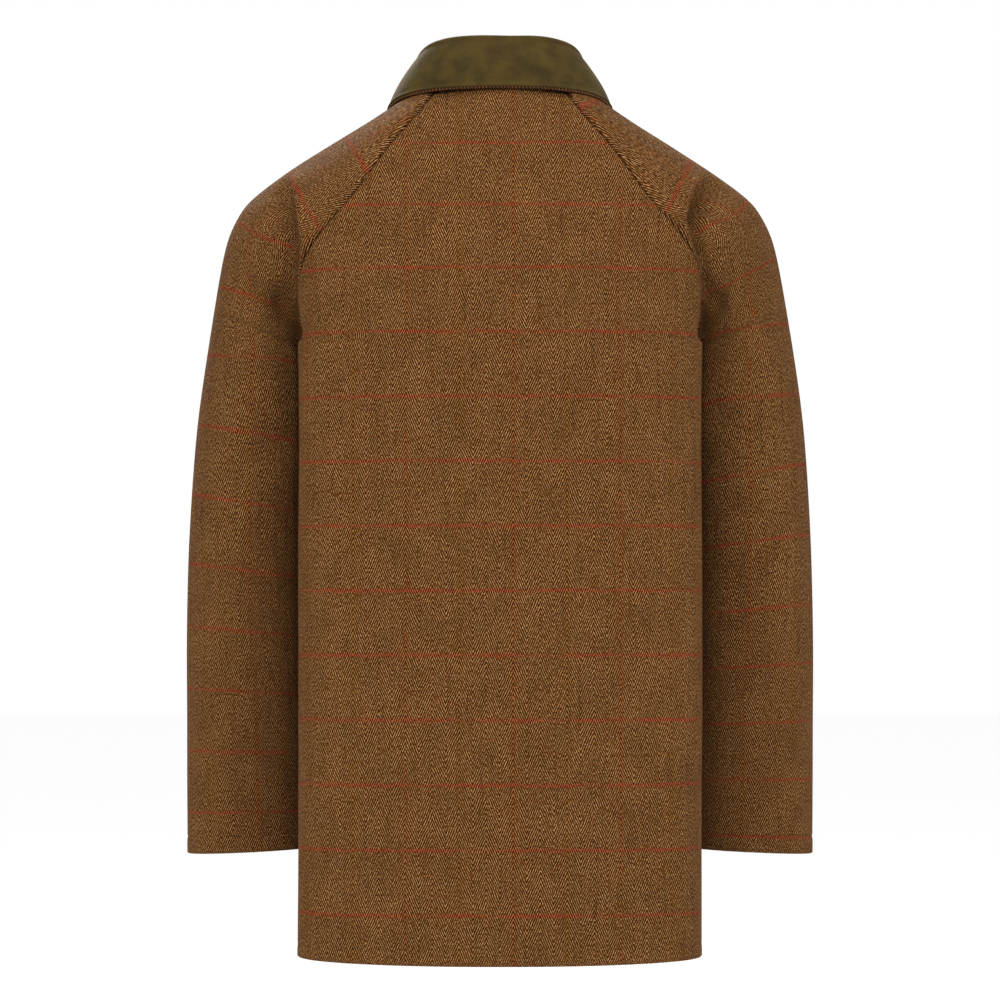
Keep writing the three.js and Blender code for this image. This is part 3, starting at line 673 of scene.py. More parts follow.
def seam_relief(distance, puff):
    """The cloth near a seam: sunk at the seam, and puffed up beside it by its allowance."""
    sunk = -SEAM_SINK * np.exp(-((distance / SEAM_WIDTH) ** 2))
    raised = puff * np.exp(-(((distance - SEAM_PUFF_AT) / SEAM_PUFF_WIDTH) ** 2))
    return sunk + raised * smooth_step(distance / SEAM_PUFF_AT * 2)


def hem_relief(up):
    """The line of stitches that holds a turned-up hem, and the fuller cloth below it."""
    line = np.exp(-(((up - HEM_LINE) / HEM_LINE_WIDTH) ** 2))
    return -HEM_LINE_DEPTH * line + HEM_FULLNESS * smooth_step((HEM_LINE - up) / HEM_FULLNESS_RUN)


def folded_under(points, cloth, normals, fold, run):
    """A grid with its first row folded in round an edge, and run on up its inside."""
    down = unit(points[0] - points[1])
    edge = points[0] - down * fold
    heights = lengths_of(points[:, points.shape[1] // 2])
    last = int(np.searchsorted(heights, run))
    inside = points[last:0:-1] - normals[last:0:-1] * (2 * fold)
    angles = np.linspace(math.pi, 0, HEM_TURN_POINTS)[:, None, None]
    turn = edge + down * fold * np.sin(angles) - normals[0] * fold * (1 - np.cos(angles))
    turn[-1] = edge
    added = np.concatenate([inside, turn[:-1]])
    steps = np.linalg.norm(np.diff(np.concatenate([added, edge[None]]), axis=0), axis=-1)
    back_along = np.cumsum(steps[::-1], axis=0)[::-1]
    added_cloth = np.repeat(cloth[:1], len(added), axis=0)
    added_cloth[..., 1] -= back_along
    whole = np.concatenate([added, edge[None], points[1:]])
    return whole, np.concatenate([added_cloth, cloth])


def new_mesh(name, points, faces):
    """A smooth mesh from points in millimetres."""
    mesh = bpy.data.meshes.new(name)
    mesh.from_pydata((np.asarray(points) * MM).tolist(), [], faces)
    mesh.shade_smooth()
    return mesh


def map_cloth(mesh, cloth):
    """Gives a mesh a map of each point's place in the cloth, in metres."""
    layer = mesh.uv_layers.new(name="cloth")
    corners = np.zeros(len(mesh.loops), np.int32)
    mesh.loops.foreach_get("vertex_index", corners)
    layer.uv.foreach_set("vector", (cloth[corners] * MM).astype(np.float32).ravel())


def new_object(name, data):
    thing = bpy.data.objects.new(name, data)
    bpy.context.scene.collection.objects.link(thing)
    return thing


def grid_faces(rows, columns):
    index = np.arange(rows * columns).reshape(rows, columns)
    corners = [index[:-1, :-1], index[:-1, 1:], index[1:, 1:], index[1:, :-1]]
    return np.stack(corners, -1).reshape(-1, 4)


def add_piece(name, mesh, material):
    """A piece of the jacket that rides on its one body."""
    piece = new_object(name, mesh)
    mesh.materials.append(material)
    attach(piece, "root")
    return piece


def shell(name, points, cloth, thickness, material):
    """A thin shell inward from a grid of points."""
    mesh = new_mesh(name, points.reshape(-1, 3), grid_faces(*points.shape[:2]).tolist())
    map_cloth(mesh, cloth.reshape(-1, 2))
    piece = add_piece(name, mesh, material)
    solid = piece.modifiers.new("thickness", "SOLIDIFY")
    solid.thickness = thickness * MM
    solid.offset = -1
    return piece


class Nodes:
    """Short ways to build a material's nodes."""

    def __init__(self, name):
        self.material = bpy.data.materials.new(name)
        self.material.use_nodes = True
        self.tree = self.material.node_tree
        self.shader = self.tree.nodes["Principled BSDF"]

    def add(self, kind, **settings):
        node = self.tree.nodes.new(kind)
        for key, value in settings.items():
            setattr(node, key, value)
        return node

    def put(self, socket, value):
        if isinstance(value, bpy.types.NodeSocket):
            self.tree.links.new(value, socket)
        else:
            socket.default_value = value

    def math(self, operation, *values):
        node = self.add("ShaderNodeMath", operation=operation)
        for socket, value in zip(node.inputs, values):
            self.put(socket, value)
        return node.outputs[0]

    def scaled(self, value, low, high, to_low=0.0, to_high=1.0):
        node = self.add("ShaderNodeMapRange", interpolation_type="SMOOTHSTEP")
        for socket, number in zip(node.inputs, (value, low, high, to_low, to_high)):
            self.put(socket, number)
        return node.outputs[0]

    def mix(self, factor, one, two, blend="MIX"):
        node = self.add("ShaderNodeMix", data_type="RGBA", blend_type=blend)
        self.put(node.inputs["Factor"], factor)
        self.put(node.inputs[6], one)
        self.put(node.inputs[7], two)
        return node.outputs[2]

    def noise(self, place, scale, detail=2.0, roughness=0.5):
        node = self.add("ShaderNodeTexNoise")
        self.put(node.inputs["Vector"], place)
        node.inputs["Scale"].default_value = scale
        node.inputs["Detail"].default_value = detail
        node.inputs["Roughness"].default_value = roughness
        return node.outputs["Fac"]

    def bump(self, height, distance, strength=1.0, normal=None):
        node = self.add("ShaderNodeBump")
        node.inputs["Strength"].default_value = strength
        node.inputs["Distance"].default_value = distance
        self.put(node.inputs["Height"], height)
        if normal is not None:
            self.put(node.inputs["Normal"], normal)
        return node.outputs[0]

    def surface(self, roughness, specular, sheen=(0.0, 0.5, (1, 1, 1, 1))):
        """Sets what is the same all over: the sheen's numbers are its weight, roughness and
        tint."""
        inputs = self.shader.inputs
        inputs["Roughness"].default_value = roughness
        inputs["Specular IOR Level"].default_value = specular
        for part, value in zip(("Weight", "Roughness", "Tint"), sheen):
            inputs[f"Sheen {part}"].default_value = value


def srgb(red, green, blue):
    """A colour from its 0 to 255 screen values."""
    parts = [c / 255 for c in (red, green, blue)]
    linear = [c / 12.92 if c < 0.04045 else ((c + 0.055) / 1.055) ** 2.4 for c in parts]
    return (*linear, 1.0)


TWEED_DARK = srgb(20, 5, 0)
TWEED_MID = srgb(63, 35, 6)
TWEED_LIGHT = srgb(134, 100, 62)
RUST = srgb(106, 44, 8)
MUSTARD = srgb(92, 62, 4)
RED = srgb(128, 40, 27)


def tweed_material():
    """Herringbone tweed on the cloth's map: steep twill lines that turn at every rib, flecked
    yarns, a warp line on every second peak and a red weft line."""
    n = Nodes("tweed")
    place = n.add("ShaderNodeUVMap", uv_map="cloth").outputs[0]
    parts = n.add("ShaderNodeSeparateXYZ")
    n.put(parts.inputs[0], place)
    wander = n.math("MULTIPLY_ADD", n.noise(place, 45.0, 2.0), 2.4, -1.2)
    across = n.math("MULTIPLY_ADD", parts.outputs[0], 1000.0, wander)
    wander_up = n.math("MULTIPLY_ADD", n.noise(place, 61.0, 2.0), 3.0, -1.5)
    along = n.math("MULTIPLY_ADD", parts.outputs[1], 1000.0, wander_up)

    rib = n.math("PINGPONG", across, RIB)
    phase = n.math("ADD", n.math("DIVIDE", rib, TWILL_ACROSS), n.math("DIVIDE", along, TWILL_ALONG))
    wave = n.math("SINE", n.math("MULTIPLY", phase, 2 * math.pi))
    yarn = n.add("ShaderNodeCombineXYZ")
    n.put(yarn.inputs[0], n.math("MULTIPLY", phase, YARN_CHANGE))
    n.put(yarn.inputs[1], n.math("DIVIDE", along, FLECK_LENGTH))
    n.put(yarn.inputs[2], n.math("FLOOR", n.math("DIVIDE", across, RIB)))
    fleck = n.noise(yarn.outputs[0], 1.0, 2.0, 0.6)
    grain = n.math("MULTIPLY_ADD", n.scaled(fleck, 0.28, 0.72), 2.0, -1.0)
    thread = n.math("ADD", n.math("MULTIPLY", wave, 1.25), grain)
    colour = n.mix(n.scaled(thread, -1.7, 0.3), TWEED_DARK, TWEED_MID)
    colour = n.mix(n.scaled(thread, 0.3, 1.9), colour, TWEED_LIGHT)

    stretched = n.add("ShaderNodeMapping")
    stretched.inputs["Scale"].default_value = (SLUB_ACROSS, SLUB_ALONG, 1)
    n.put(stretched.inputs["Vector"], place)
    slub = n.noise(stretched.outputs[0], 1.0, 3.0, 0.6)
    colour = n.mix(n.scaled(slub, 0.5, 0.75, 0.0, 0.3), colour, TWEED_DARK)

    heather = n.noise(place, 330.0, 2.0, 0.6)
    colour = n.mix(n.scaled(heather, 0.55, 0.7, 0.0, 0.4), colour, srgb(78, 34, 10))
    mottle = n.noise(place, 28.0, 3.0)
    colour = n.mix(n.scaled(mottle, 0.35, 0.65, 0.0, 0.16), colour, srgb(28, 12, 2))

    broken = n.math("MULTIPLY", n.scaled(wave, -0.5, 0.8), n.scaled(fleck, 0.35, 0.6, 0.2, 1.0))
    near_weft = n.math("PINGPONG", n.math("ADD", along, WEFT_STEP * LINES_BEFORE), WEFT_STEP / 2)
    half = LINE_WIDTH / 2
    weft = n.scaled(near_weft, half + WEFT_EDGE, half - WEFT_EDGE)
    uneven = n.scaled(n.noise(place, 17.0, 2.0), 0.3, 0.6, 0.25, 0.8)
    weft = n.math("MULTIPLY", n.math("MULTIPLY", weft, broken), uneven)
    near_warp = n.math("PINGPONG", n.math("ADD", across, WARP_STEP * LINES_BEFORE), WARP_STEP)
    rust = n.scaled(near_warp, half + WARP_EDGE, half - WARP_EDGE)
    mustard = n.scaled(near_warp, WARP_STEP - half - WARP_EDGE, WARP_STEP - half + WARP_EDGE)
    faint = n.scaled(n.noise(place, 23.0, 2.0), 0.35, 0.62, 0.15, 0.6)
    colour = n.mix(n.math("MULTIPLY", n.math("MULTIPLY", rust, broken), faint), colour, RUST)
    colour = n.mix(n.math("MULTIPLY", n.math("MULTIPLY", mustard, broken), faint), colour, MUSTARD)
    colour = n.mix(weft, colour, RED)

    n.put(n.shader.inputs["Base Color"], colour)
    n.surface(0.92, 0.04, (0.015, 0.5, srgb(214, 176, 140)))
    ribs = n.bump(wave, 0.0003)
    fuzz = n.bump(fleck, 0.0009, 1.0, ribs)
    n.put(n.shader.inputs["Normal"], fuzz)
    return n.material


def nap_material():
    """Olive napped cotton: soft blotches where the nap lies over, and a fine grain."""
    n = Nodes("olive nap")
    place = n.add("ShaderNodeUVMap", uv_map="cloth").outputs[0]
    colour = n.mix(n.scaled(n.noise(place, 52.0, 4.0, 0.6), 0.3, 0.7), srgb(34, 26, 5), srgb(53, 42, 11))
    colour = n.mix(n.scaled(n.noise(place, 18.0, 2.0), 0.45, 0.7, 0.0, 0.5), colour, srgb(50, 33, 8))
    grain = n.noise(place, 1000.0, 3.0, 0.7)
    colour = n.mix(n.scaled(grain, 0.35, 0.65, 0.0, 0.5), colour, srgb(26, 19, 4))
    n.put(n.shader.inputs["Base Color"], colour)
    n.surface(0.85, 0.08, (0.08, 0.4, srgb(190, 176, 120)))
    n.put(n.shader.inputs["Normal"], n.bump(grain, 0.0003, 0.6))
    return n.material


def felt_material():
    """The dark brown felted wool of the undercollar."""
    n = Nodes("brown felt")
    place = n.add("ShaderNodeUVMap", uv_map="cloth").outputs[0]
    fibres = n.noise(place, 900.0, 4.0, 0.7)
    colour = n.mix(n.scaled(fibres, 0.35, 0.65), srgb(26, 13, 6), srgb(54, 30, 16))
    n.put(n.shader.inputs["Base Color"], colour)
    n.surface(0.95, 0.05)
    n.put(n.shader.inputs["Normal"], n.bump(fibres, 0.0004, 0.8))
    return n.material


def thread_material(name, colour, dark):
    """Sewing thread, a little uneven in colour along its length."""
    n = Nodes(name)
    place = n.add("ShaderNodeTexCoord").outputs["Object"]
    n.put(n.shader.inputs["Base Color"], n.mix(n.noise(place, 900.0, 2.0), dark, colour))
    n.surface(0.7, 0.1)
    return n.material


def horn_material():
    """Horn effect: dark and light brown streaks under a soft polish."""
    n = Nodes("horn")
    place = n.add("ShaderNodeTexCoord").outputs["Object"]
    stretch = n.add("ShaderNodeMapping")
    stretch.inputs["Scale"].default_value = (60, 60, 260)
    n.put(stretch.inputs["Vector"], place)
    streaks = n.noise(stretch.outputs[0], 1.0, 4.0, 0.6)
    colour = n.mix(n.scaled(streaks, 0.35, 0.65), srgb(22, 11, 5), srgb(66, 38, 18))
    n.put(n.shader.inputs["Base Color"], colour)
    n.surface(0.42, 0.25)
    n.put(n.shader.inputs["Normal"], n.bump(n.noise(place, 500.0, 2.0), 0.00005, 0.5))
    return n.material


# Body and sleeve shells
def pressed_under(panel):
    """The right front's lap, which lies under the left one."""
    p = panel.points
    share = smooth_step((LAP_RAMP_START + p[..., 0]) / (LAP_RAMP_START - LAP_RAMP_END))
    p[..., 1] += LAP_DROP * share
    return panel


# The body's weft lines lie level, and this is the height of one of them
WEFT_LINE_Z = -422.5

# The heights up each sleeve's ridge at which its weft lines lie: the height and the line's
# number
SLEEVE_LINES = {
    "sleeve_left": ((-20, -1), (40, 0), (277, 4), (540, 8), (679, 10), (739, 11), (862, 12.4)),
    "sleeve_right": ((-39, -1), (16, 0), (239, 4), (438, 7), (570, 9), (700, 11), (830, 12.4)),
}

# Where the middle of the weave lies across the body
BODY_ACROSS = 12


def cloth_place(panel, normals):
    """Where each point of a panel lies in the woven cloth."""
    if panel.name in SLEEVE_LINES:
        heights, numbers = np.array(SLEEVE_LINES[panel.name], float).T
        along = np.interp(panel.up, heights, numbers) * WEFT_STEP
        return np.stack([panel.across, along + cloth_taken(panel.points, normals)], -1)
    return np.stack([panel.across + BODY_ACROSS, panel.points[..., 2] - WEFT_LINE_Z], -1)


# How full the cloth is beside the seams of the body's panels and of the sleeves
BODY_PUFF = 0.15
SLEEVE_PUFF = 0.9

# Soft unevenness of the cloth: the size of its lumps and their height, how much longer than
# wide they are, its mean, and the distance from a seam at which it and the creases are full
UNEVEN = ((150, 1.1), (60, 0.45))
UNEVEN_STRETCH = 0.55
UNEVEN_SEED = 7.3
UNEVEN_MEAN = 0.5
UNEVEN_FULL = 25
CREASE_FULL = 5


def panel_relief(panel, normals):
    """How far each point of a panel is raised from the plain form."""
    is_sleeve = panel.name.startswith("sleeve")
    puff = SLEEVE_PUFF if is_sleeve else BODY_PUFF
    relief = seam_relief(panel.seams, puff) + hem_relief(panel.up)
    fade = smooth_step(panel.seams / UNEVEN_FULL)
    stretched = panel.points * [1, 1, UNEVEN_STRETCH]
    for seed, (size, height) in enumerate(UNEVEN):
        lumps = soft_noise(stretched, size, UNEVEN_SEED * (seed + 1))
        relief += fade * height * (lumps - UNEVEN_MEAN)
    if is_sleeve:
        relief += crease_relief(panel.points, normals) * smooth_step(panel.seams / CREASE_FULL)
    return relief


def neck_seam():
    """Half of the neck seam, from the centre back round to the centre front."""
    back, _, _ = body_row(2, True, BACK_COLUMNS, 0)
    side, _, _ = sleeve_row(2)
    front, at, _ = body_row(2, False, FRONT_COLUMNS, LAP)
    front = front[at >= 0][::-1]
    return np.concatenate([back, side[1:], front[1:]])


def nearest_outside(tree, point):
    """How far a point lies outside a surface, and which way is out."""
    place, normal, _, _ = tree.find_nearest(Vector(point))
    return float((Vector(point) - place).dot(normal)), np.array(normal)


def lift_over(tree, point, clearance):
    """A point, moved out where it lies less than a clearance outside a surface."""
    for _ in range(LIFT_ROUNDS):
        height, normal = nearest_outside(tree, point)
        if height < clearance:
            point = point + normal * (clearance - height)
    return point


def collar_strip(along, neck, lengths, tree):
    """A strip across the collar: up the stand, over the fold and down the fall, which
    rests on the panels."""
    c = COLLAR(along)
    foot = points_at(neck, lengths, np.array([lengths[-1] * along]))[0]
    foot[2] += COLLAR_LIFT
    fold = np.array([c["foldX"], c["foldY"], c["foldZ"]])
    edge = np.array([c["edgeX"], c["edgeY"], c["edgeZ"]])
    edge = edge + unit(fold - edge) * COLLAR_SHORT
    up = unit(fold - foot)
    out = edge - fold
    out = unit(out - up * (out @ up))
    hub = fold - up * FOLD_RADIUS
    stand_end = hub - out * FOLD_RADIUS
    stand = lerp(foot, stand_end, np.arange(STAND_STEPS)[:, None] / STAND_STEPS)
    angle = math.pi * (1 - np.arange(FOLD_STEPS + 1)[:, None] / FOLD_STEPS)
    turn = hub + FOLD_RADIUS * (out * np.cos(angle) + up * np.sin(angle))
    start = turn[-1]
    fall = edge - start
    bow = unit(out - fall * (out @ fall) / (fall @ fall))
    s = np.arange(1, FALL_STEPS + 1)[:, None] / FALL_STEPS
    hanging = start + fall * s + bow * FALL_BULGE * 4 * s * (1 - s)
    hanging = np.array([lift_over(tree, p, COLLAR_REST) for p in hanging])
    return np.concatenate([stand, turn, hanging])


def collar_points(tree):
    """The collar's outer face, from the left front round the back to the right front."""
    neck = neck_seam()
    lengths = lengths_of(neck)
    half = COLLAR_COLUMNS // 2
    strips = [collar_strip(COLLAR_REACH * i / half, neck, lengths, tree) for i in range(half + 1)]
    left = np.array(strips[::-1])
    right = np.array(strips[1:]) * [-1, 1, 1]
    return np.concatenate([left, right])


def eased(points, rounds):
    """A grid with its points eased towards their neighbours in the next columns."""
    for _ in range(rounds):
        points = points.copy()
        points[1:-1] = (points[:-2] + 2 * points[1:-1] + points[2:]) / 4
    return points


def grid_cloth(points):
    """A grid's place in its cloth, from the lengths along its middle row and column."""
    across = lengths_of(points[:, points.shape[1] // 2])
    along = lengths_of(points[points.shape[0] // 2])
    return np.stack(np.meshgrid(across, along, indexing="ij"), -1)


# Thread that shows: a stitch is a short bent capsule between two points
STITCH_SIDES = 6
STITCH_SECTIONS = (
    (0.0, 0.15, 0.0), (0.15, 0.8, 0.6), (0.5, 1.0, 1.0), (0.85, 0.8, 0.6), (1.0, 0.15, 0.0),
)


def stitch(start, end, up, radius, rise):
    """The points and faces of one stitch. Its sections name the share of its length, of its
    radius and of its rise."""
    line = unit(end - start)
    side = unit(np.cross(line, up))
    top = np.cross(side, line)
    angles = np.arange(STITCH_SIDES) * 2 * math.pi / STITCH_SIDES
    round_it = np.cos(angles)[:, None] * side + np.sin(angles)[:, None] * top
    rings = [
        start + (end - start) * share + top * rise * lift + round_it * radius * wide
        for share, wide, lift in STITCH_SECTIONS
    ]
    faces = []
    for r in range(len(rings) - 1):
        for k in range(STITCH_SIDES):
            a, b = r * STITCH_SIDES + k, r * STITCH_SIDES + (k + 1) % STITCH_SIDES
            faces.append((a, b, b + STITCH_SIDES, a + STITCH_SIDES))
    return np.concatenate(rings), faces


def stitches_mesh(name, parts):
    """One mesh of many stitches."""
    points, faces = [], []
    for part_points, part_faces in parts:
        base = sum(len(p) for p in points)
        points.append(part_points)
        faces += [tuple(base + i for i in face) for face in part_faces]
    return new_mesh(name, np.concatenate(points), faces)


TWEED = tweed_material()
OLIVE = nap_material()
FELT = felt_material()
GOLD_THREAD = thread_material("tan thread", srgb(120, 86, 52), srgb(84, 56, 32))
DARK_THREAD = thread_material("brown thread", srgb(74, 50, 30), srgb(44, 28, 16))
HORN = horn_material()


def declare(name):
    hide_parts(name)


def build_panels():
    front = front_panel()
    sleeve = sleeve_panel()
    panels = [
        back_panel(),
        front,
        pressed_under(front.mirrored("front_right")),
        sleeve,
        sleeve.mirrored("sleeve_right"),
    ]
    normals = shared_normals([panel.points for panel in panels])
    for panel, normal in zip(panels, normals):
        cloth = cloth_place(panel, normal)
        panel.points = panel.points + normal * panel_relief(panel, normal)[..., None]
        points, cloth = folded_under(panel.points, cloth, normal, HEM_FOLD, HEM_RUN)
        piece = shell(f"{panel.name}_cloth", points, cloth, CLOTH, TWEED)
        declare(panel.name)
    return panels


def surface_tree(grids):
    """A search tree of some grids' faces."""
    points, faces, base = [], [], 0
    for grid in grids:
        points += grid.reshape(-1, 3).tolist()
        faces += (grid_faces(*grid.shape[:2]) + base).tolist()
        base += grid.shape[0] * grid.shape[1]
    return BVHTree.FromPolygons(points, faces)


# The edge of the collar: a rolled bead and the stitched groove beside it
BEAD_HEIGHT = 0.5
BEAD_WIDTH = 1.6
GROOVE_DEPTH = 0.5
GROOVE_AT = 4
GROOVE_WIDTH = 0.9

# The collar's soft unevenness, and how often its points are eased along it
COLLAR_EASINGS = 4
COLLAR_UNEVEN = 0.5
COLLAR_LUMPS = 28
COLLAR_SEED = 4.7
COLLAR_UNEVEN_FULL = 8

# The stitches that join the collar to the undercollar
EDGE_STITCH_STEP = 3.4
EDGE_STITCH_SLANT = 1.5
EDGE_STITCH_RADIUS = 0.32
EDGE_STITCH_LIFT = 0.15
EDGE_STITCH_REACH = 0.85
EDGE_STITCH_RISE = 0.25


def build_collar(tree):
    base = eased(collar_points(tree), COLLAR_EASINGS)
    normals = shared_normals([base])[0]
    to_edge = np.array([lengths_of(strip[::-1])[::-1] for strip in base])
    relief = BEAD_HEIGHT * np.exp(-((to_edge / BEAD_WIDTH) ** 2))
    relief -= GROOVE_DEPTH * np.exp(-(((to_edge - GROOVE_AT) / GROOVE_WIDTH) ** 2))
    lumps = COLLAR_UNEVEN * soft_noise(base, COLLAR_LUMPS, COLLAR_SEED)
    relief += lumps * smooth_step(to_edge / COLLAR_UNEVEN_FULL)
    points = base + normals * relief[..., None]
    collar = shell("collar_cloth", points, grid_cloth(points), COLLAR_CLOTH, OLIVE)
    declare("collar")

    first = STAND_STEPS + FOLD_STEPS
    under = base[:, first:] - normals[:, first:] * (COLLAR_CLOTH + LAYER_GAP)
    under[:, -1] += unit(under[:, -1] - under[:, -2]) * UNDERCOLLAR_SHOW
    cloth = grid_cloth(under)
    felt = shell("undercollar_cloth", under, cloth, UNDERCOLLAR_CLOTH, FELT)
    declare("undercollar")
    return base, normals, under


def edge_stitches(base, normals, under):
    """The slanting stitches along the collar's edge, which show below it."""
    low, high = under[:, -1], base[:, -1] - normals[:, -1] * COLLAR_CLOTH
    lengths = lengths_of(low)
    count = int(lengths[-1] / EDGE_STITCH_STEP)
    parts = []
    for i in range(count):
        at = np.array([(i + 0.5) * EDGE_STITCH_STEP])
        one = points_at(high, lengths, at)[0]
        two = points_at(low, lengths, at + EDGE_STITCH_SLANT)[0]
        out = unit(points_at(normals[:, -1], lengths, at)[0])
        lifted = out * EDGE_STITCH_LIFT
        start, end = one + lifted, lerp(one, two, EDGE_STITCH_REACH) + lifted
        parts.append(stitch(start, end, out, EDGE_STITCH_RADIUS, EDGE_STITCH_RISE))
    name = "collar_edge_stitches"
    add_piece(name, stitches_mesh(name, parts), GOLD_THREAD)


# Buttons
BUTTON_PROFILE = (
    (0.0, 0.0), (9.6, 0.0), (10.6, 0.5), (11.0, 1.4), (11.0, 2.6), (10.6, 3.5), (9.9, 4.0),
    (9.0, 3.95), (8.2, 3.5), (7.4, 3.15), (0.0, 3.1),
)
BUTTON_SIDES = 64
BUTTON_HOLE = 1.05
BUTTON_HOLE_SPREAD = 2.6
BUTTON_TOP = 3.1
DRILL_PROFILE = ((0, -3), (BUTTON_HOLE, -3), (BUTTON_HOLE, 9), (0, 9))
DRILL_SIDES = 20
SHARP_ANGLE = 40

# The strands of thread through a button's holes, side by side
STRANDS = (-0.35, 0.0, 0.35)
STRAND_LIFT = 0.1
STRAND_REACH = 1.3
STRAND_RADIUS = 0.28
STRAND_RISE = 0.45


def lathe(name, profile, sides):
    """A closed mesh turned about Z from a profile that starts and ends on the axis."""
    points, faces = [(0, 0, profile[0][1])], []
    for radius, height in profile[1:-1]:
        for k in range(sides):
            angle = 2 * math.pi * k / sides
            points.append((radius * math.cos(angle), radius * math.sin(angle), height))
    points.append((0, 0, profile[-1][1]))
    rings = len(profile) - 2
    for k in range(sides):
        after = (k + 1) % sides
        faces.append((0, 1 + after, 1 + k))
        for r in range(rings - 1):
            a, b = 1 + r * sides + k, 1 + r * sides + after
            faces.append((a, b, b + sides, a + sides))
        top = 1 + (rings - 1) * sides
        faces.append((top + k, top + after, len(points) - 1))
    return new_mesh(name, points, faces)


def button_mesh():
    """A dished button with four holes."""
    disc = new_object("disc", lathe("disc", BUTTON_PROFILE, BUTTON_SIDES))
    cutters = []
    for x in (-1, 1):
        for y in (-1, 1):
            hole = new_object("hole", lathe("hole", DRILL_PROFILE, DRILL_SIDES))
            hole.location = (x * BUTTON_HOLE_SPREAD / 2 * MM, y * BUTTON_HOLE_SPREAD / 2 * MM, 0)
            cut = disc.modifiers.new("cut", "BOOLEAN")
            cut.operation = "DIFFERENCE"
            cut.object = hole
            cutters.append(hole)
    bpy.context.view_layer.update()
    graph = bpy.context.evaluated_depsgraph_get()
    mesh = bpy.data.meshes.new_from_object(disc.evaluated_get(graph))
    for thing in (disc, *cutters):
        bpy.data.objects.remove(thing)
    mesh.shade_smooth()
    mesh.set_sharp_from_angle(angle=math.radians(SHARP_ANGLE))
    return mesh


def frame_of(node):
    """A button node's place: the middle of its back, and the axes of its disc."""
    co = np.array([v.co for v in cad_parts[node].data.vertices], float)
    middle = co.mean(0)
    _, _, axes = np.linalg.svd(co - middle)
    out = axes[2] * (-1 if axes[2][1] > 0 else 1)
    back = middle + out * ((co - middle) @ out).min()
    right = unit(np.cross(np.array([0, 0, 1.0]), out))
    return back / MM, right, np.cross(out, right), out


def button_thread(back, right, up, out):
    """Thread through a button's holes, two bars that cross nothing."""
    parts = []
    half = BUTTON_HOLE_SPREAD / 2
    top = back + out * (BUTTON_TOP + STRAND_LIFT)
    reach = up * half * STRAND_REACH
    for side in (-1, 1):
        for strand in STRANDS:
            middle = top + right * (side * half + strand)
            parts.append(stitch(middle - reach, middle + reach, out, STRAND_RADIUS, STRAND_RISE))
    return parts


# Buttonholes: a worked slot beside each button
HOLE_LENGTH = 25
HOLE_WIDTH = 3.2
HOLE_STITCHES = 44
HOLE_INWARD = -3
HOLE_SQUARENESS = 1.4
HOLE_END_SHARE = 0.6
HOLE_SLIT = 0.35
HOLE_STITCH_RADIUS = 0.36
HOLE_STITCH_RISE = 0.3


def buttonhole(tree, back, right):
    """The worked edge of a buttonhole, which lies on the cloth round the button's thread."""
    parts = []
    half = HOLE_LENGTH / 2 - HOLE_WIDTH / 2
    for i in range(HOLE_STITCHES):
        turn = 2 * math.pi * i / HOLE_STITCHES
        x = half * math.copysign(min(abs(math.cos(turn)) * HOLE_SQUARENESS, 1), math.cos(turn))
        radial = np.array([math.cos(turn) * HOLE_END_SHARE, 0, math.sin(turn)])
        inner = np.array([x + HOLE_INWARD, 0, 0]) + radial * HOLE_SLIT
        outer = np.array([x + HOLE_INWARD, 0, 0]) + radial * HOLE_WIDTH / 2
        ends = []
        for spot in (inner, outer):
            place, normal, _, _ = tree.find_nearest(Vector(back + spot * [right[0], 0, 1]))
            ends.append(np.array(place))
        parts.append(stitch(*ends, np.array(normal), HOLE_STITCH_RADIUS, HOLE_STITCH_RISE))
    return parts


def build_buttons(tree):
    mesh = button_mesh()
    threads, holes = [], []
    names = sorted(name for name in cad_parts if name.startswith("button"))
    for name in names:
        back, right, up, out = frame_of(name)
        shape = mesh.copy()
        turned = np.array([v.co for v in mesh.vertices]) / MM
        placed = back + turned @ np.stack([right, up, out])
        shape.vertices.foreach_set("co", (placed * MM).astype(np.float32).ravel())
        shape.name = name
        piece = add_piece(f"{name}_horn", shape, HORN)
        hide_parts(name)
        threads += button_thread(back, right, up, out)
        holes += buttonhole(tree, back, right)
    add_piece("button_thread", stitches_mesh("button_thread", threads), DARK_THREAD)
    add_piece("buttonholes", stitches_mesh("buttonholes", holes), DARK_THREAD)


# Camera: the photo's frame is 1000 wide, and its eye level lies at row 614
CAMERA_DISTANCE = 3300
EYE_HEIGHT = -503
EYE_ROW = 614
FRAME_SIZE = 1000
FOCAL_PIXELS = 3481
SENSOR = 36


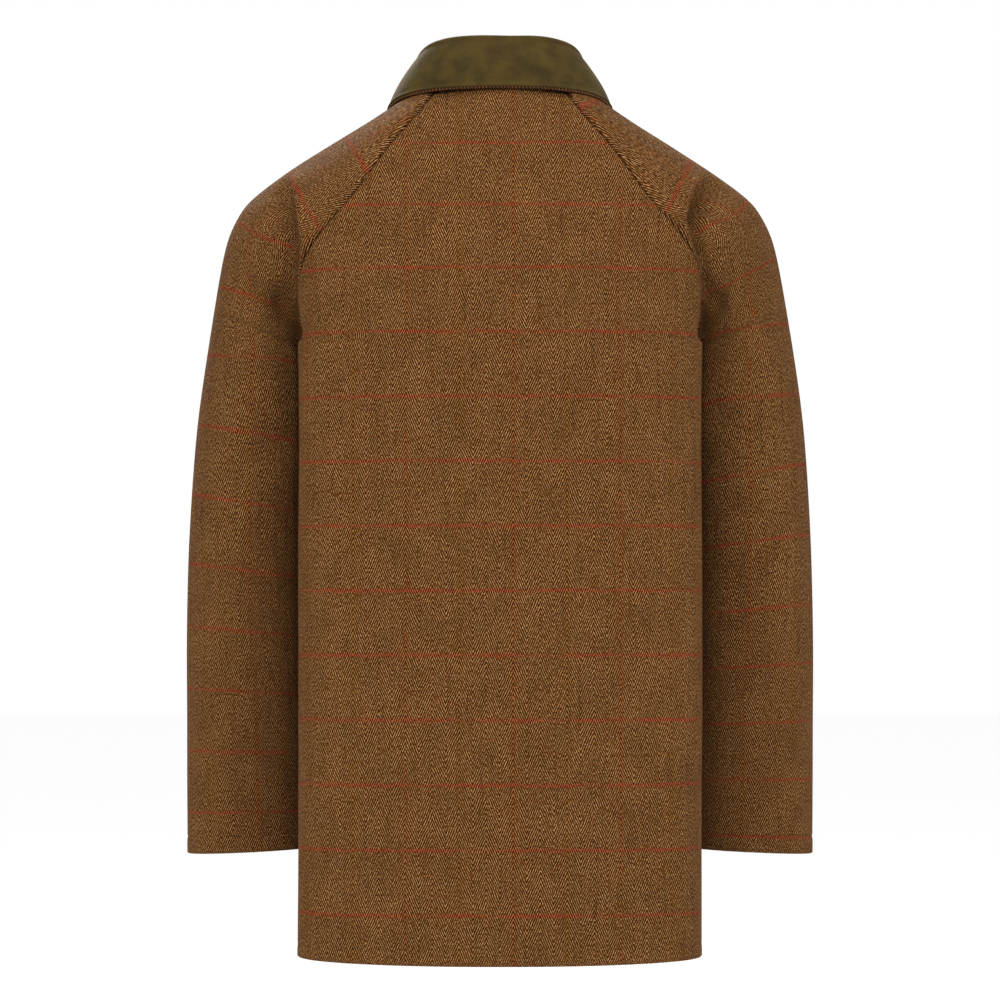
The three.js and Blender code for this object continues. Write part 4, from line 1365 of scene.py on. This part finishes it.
def add_camera():
    camera = new_object("camera", bpy.data.cameras.new("camera"))
    camera.data.sensor_width = SENSOR
    camera.data.lens = SENSOR * FOCAL_PIXELS / FRAME_SIZE
    camera.data.clip_end = 100
    camera.location = (0, CAMERA_DISTANCE * MM, EYE_HEIGHT * MM)
    pitch = math.atan((EYE_ROW - FRAME_SIZE / 2) / FOCAL_PIXELS)
    camera.rotation_euler = Euler((math.pi / 2 + pitch, 0, math.pi))
    bpy.context.scene.camera = camera


# Studio: the floor lies below the coat, which is held at a wearer's height
FLOOR_Z = -1.45
FLOOR_SIZE = 60


def add_floor():
    half = FLOOR_SIZE / 2
    mesh = bpy.data.meshes.new("floor")
    corners = [(-half, -half), (half, -half), (half, half), (-half, half)]
    mesh.from_pydata([(x, y, FLOOR_Z) for x, y in corners], [], [(0, 1, 2, 3)])
    floor = new_object("floor", mesh)
    n = Nodes("pale floor")
    n.shader.inputs["Base Color"].default_value = (0.97, 0.97, 0.97, 1)
    n.surface(0.9, 0.5)
    mesh.materials.append(n.material)


# The lights' names, places, sizes and powers
LIGHTS = (
    ("side_0", (-2.2, 2.5, 1.0), 1.1, 112),
    ("side_2", (2.2, 2.5, 1.0), 1.1, 112),
    ("top", (0, 1.3, 3.0), 1.5, 120),
    ("front", (0.8, -2.6, 2.2), 1.5, 190),
)
LIGHTS_AIM = (0, 0, -0.4)


def add_light(name, place, size, power):
    lamp = bpy.data.lights.new(name, "AREA")
    lamp.shape = "DISK"
    lamp.size = size
    lamp.energy = power
    light = new_object(name, lamp)
    light.location = place
    towards = Vector(LIGHTS_AIM) - Vector(place)
    light.rotation_euler = towards.to_track_quat("-Z", "Y").to_euler()


def add_lights():
    world = bpy.data.worlds.new("studio")
    world.use_nodes = True
    background = world.node_tree.nodes["Background"]
    background.inputs["Color"].default_value = (1, 1, 1, 1)
    background.inputs["Strength"].default_value = 1.0
    bpy.context.scene.world = world
    for light in LIGHTS:
        add_light(*light)


bpy.context.scene.view_settings.view_transform = "Standard"
add_camera()
add_floor()
add_lights()

PANELS = build_panels()
PANEL_TREE = surface_tree([panel.points for panel in PANELS])
edge_stitches(*build_collar(PANEL_TREE))
build_buttons(surface_tree([PANELS[1].points]))
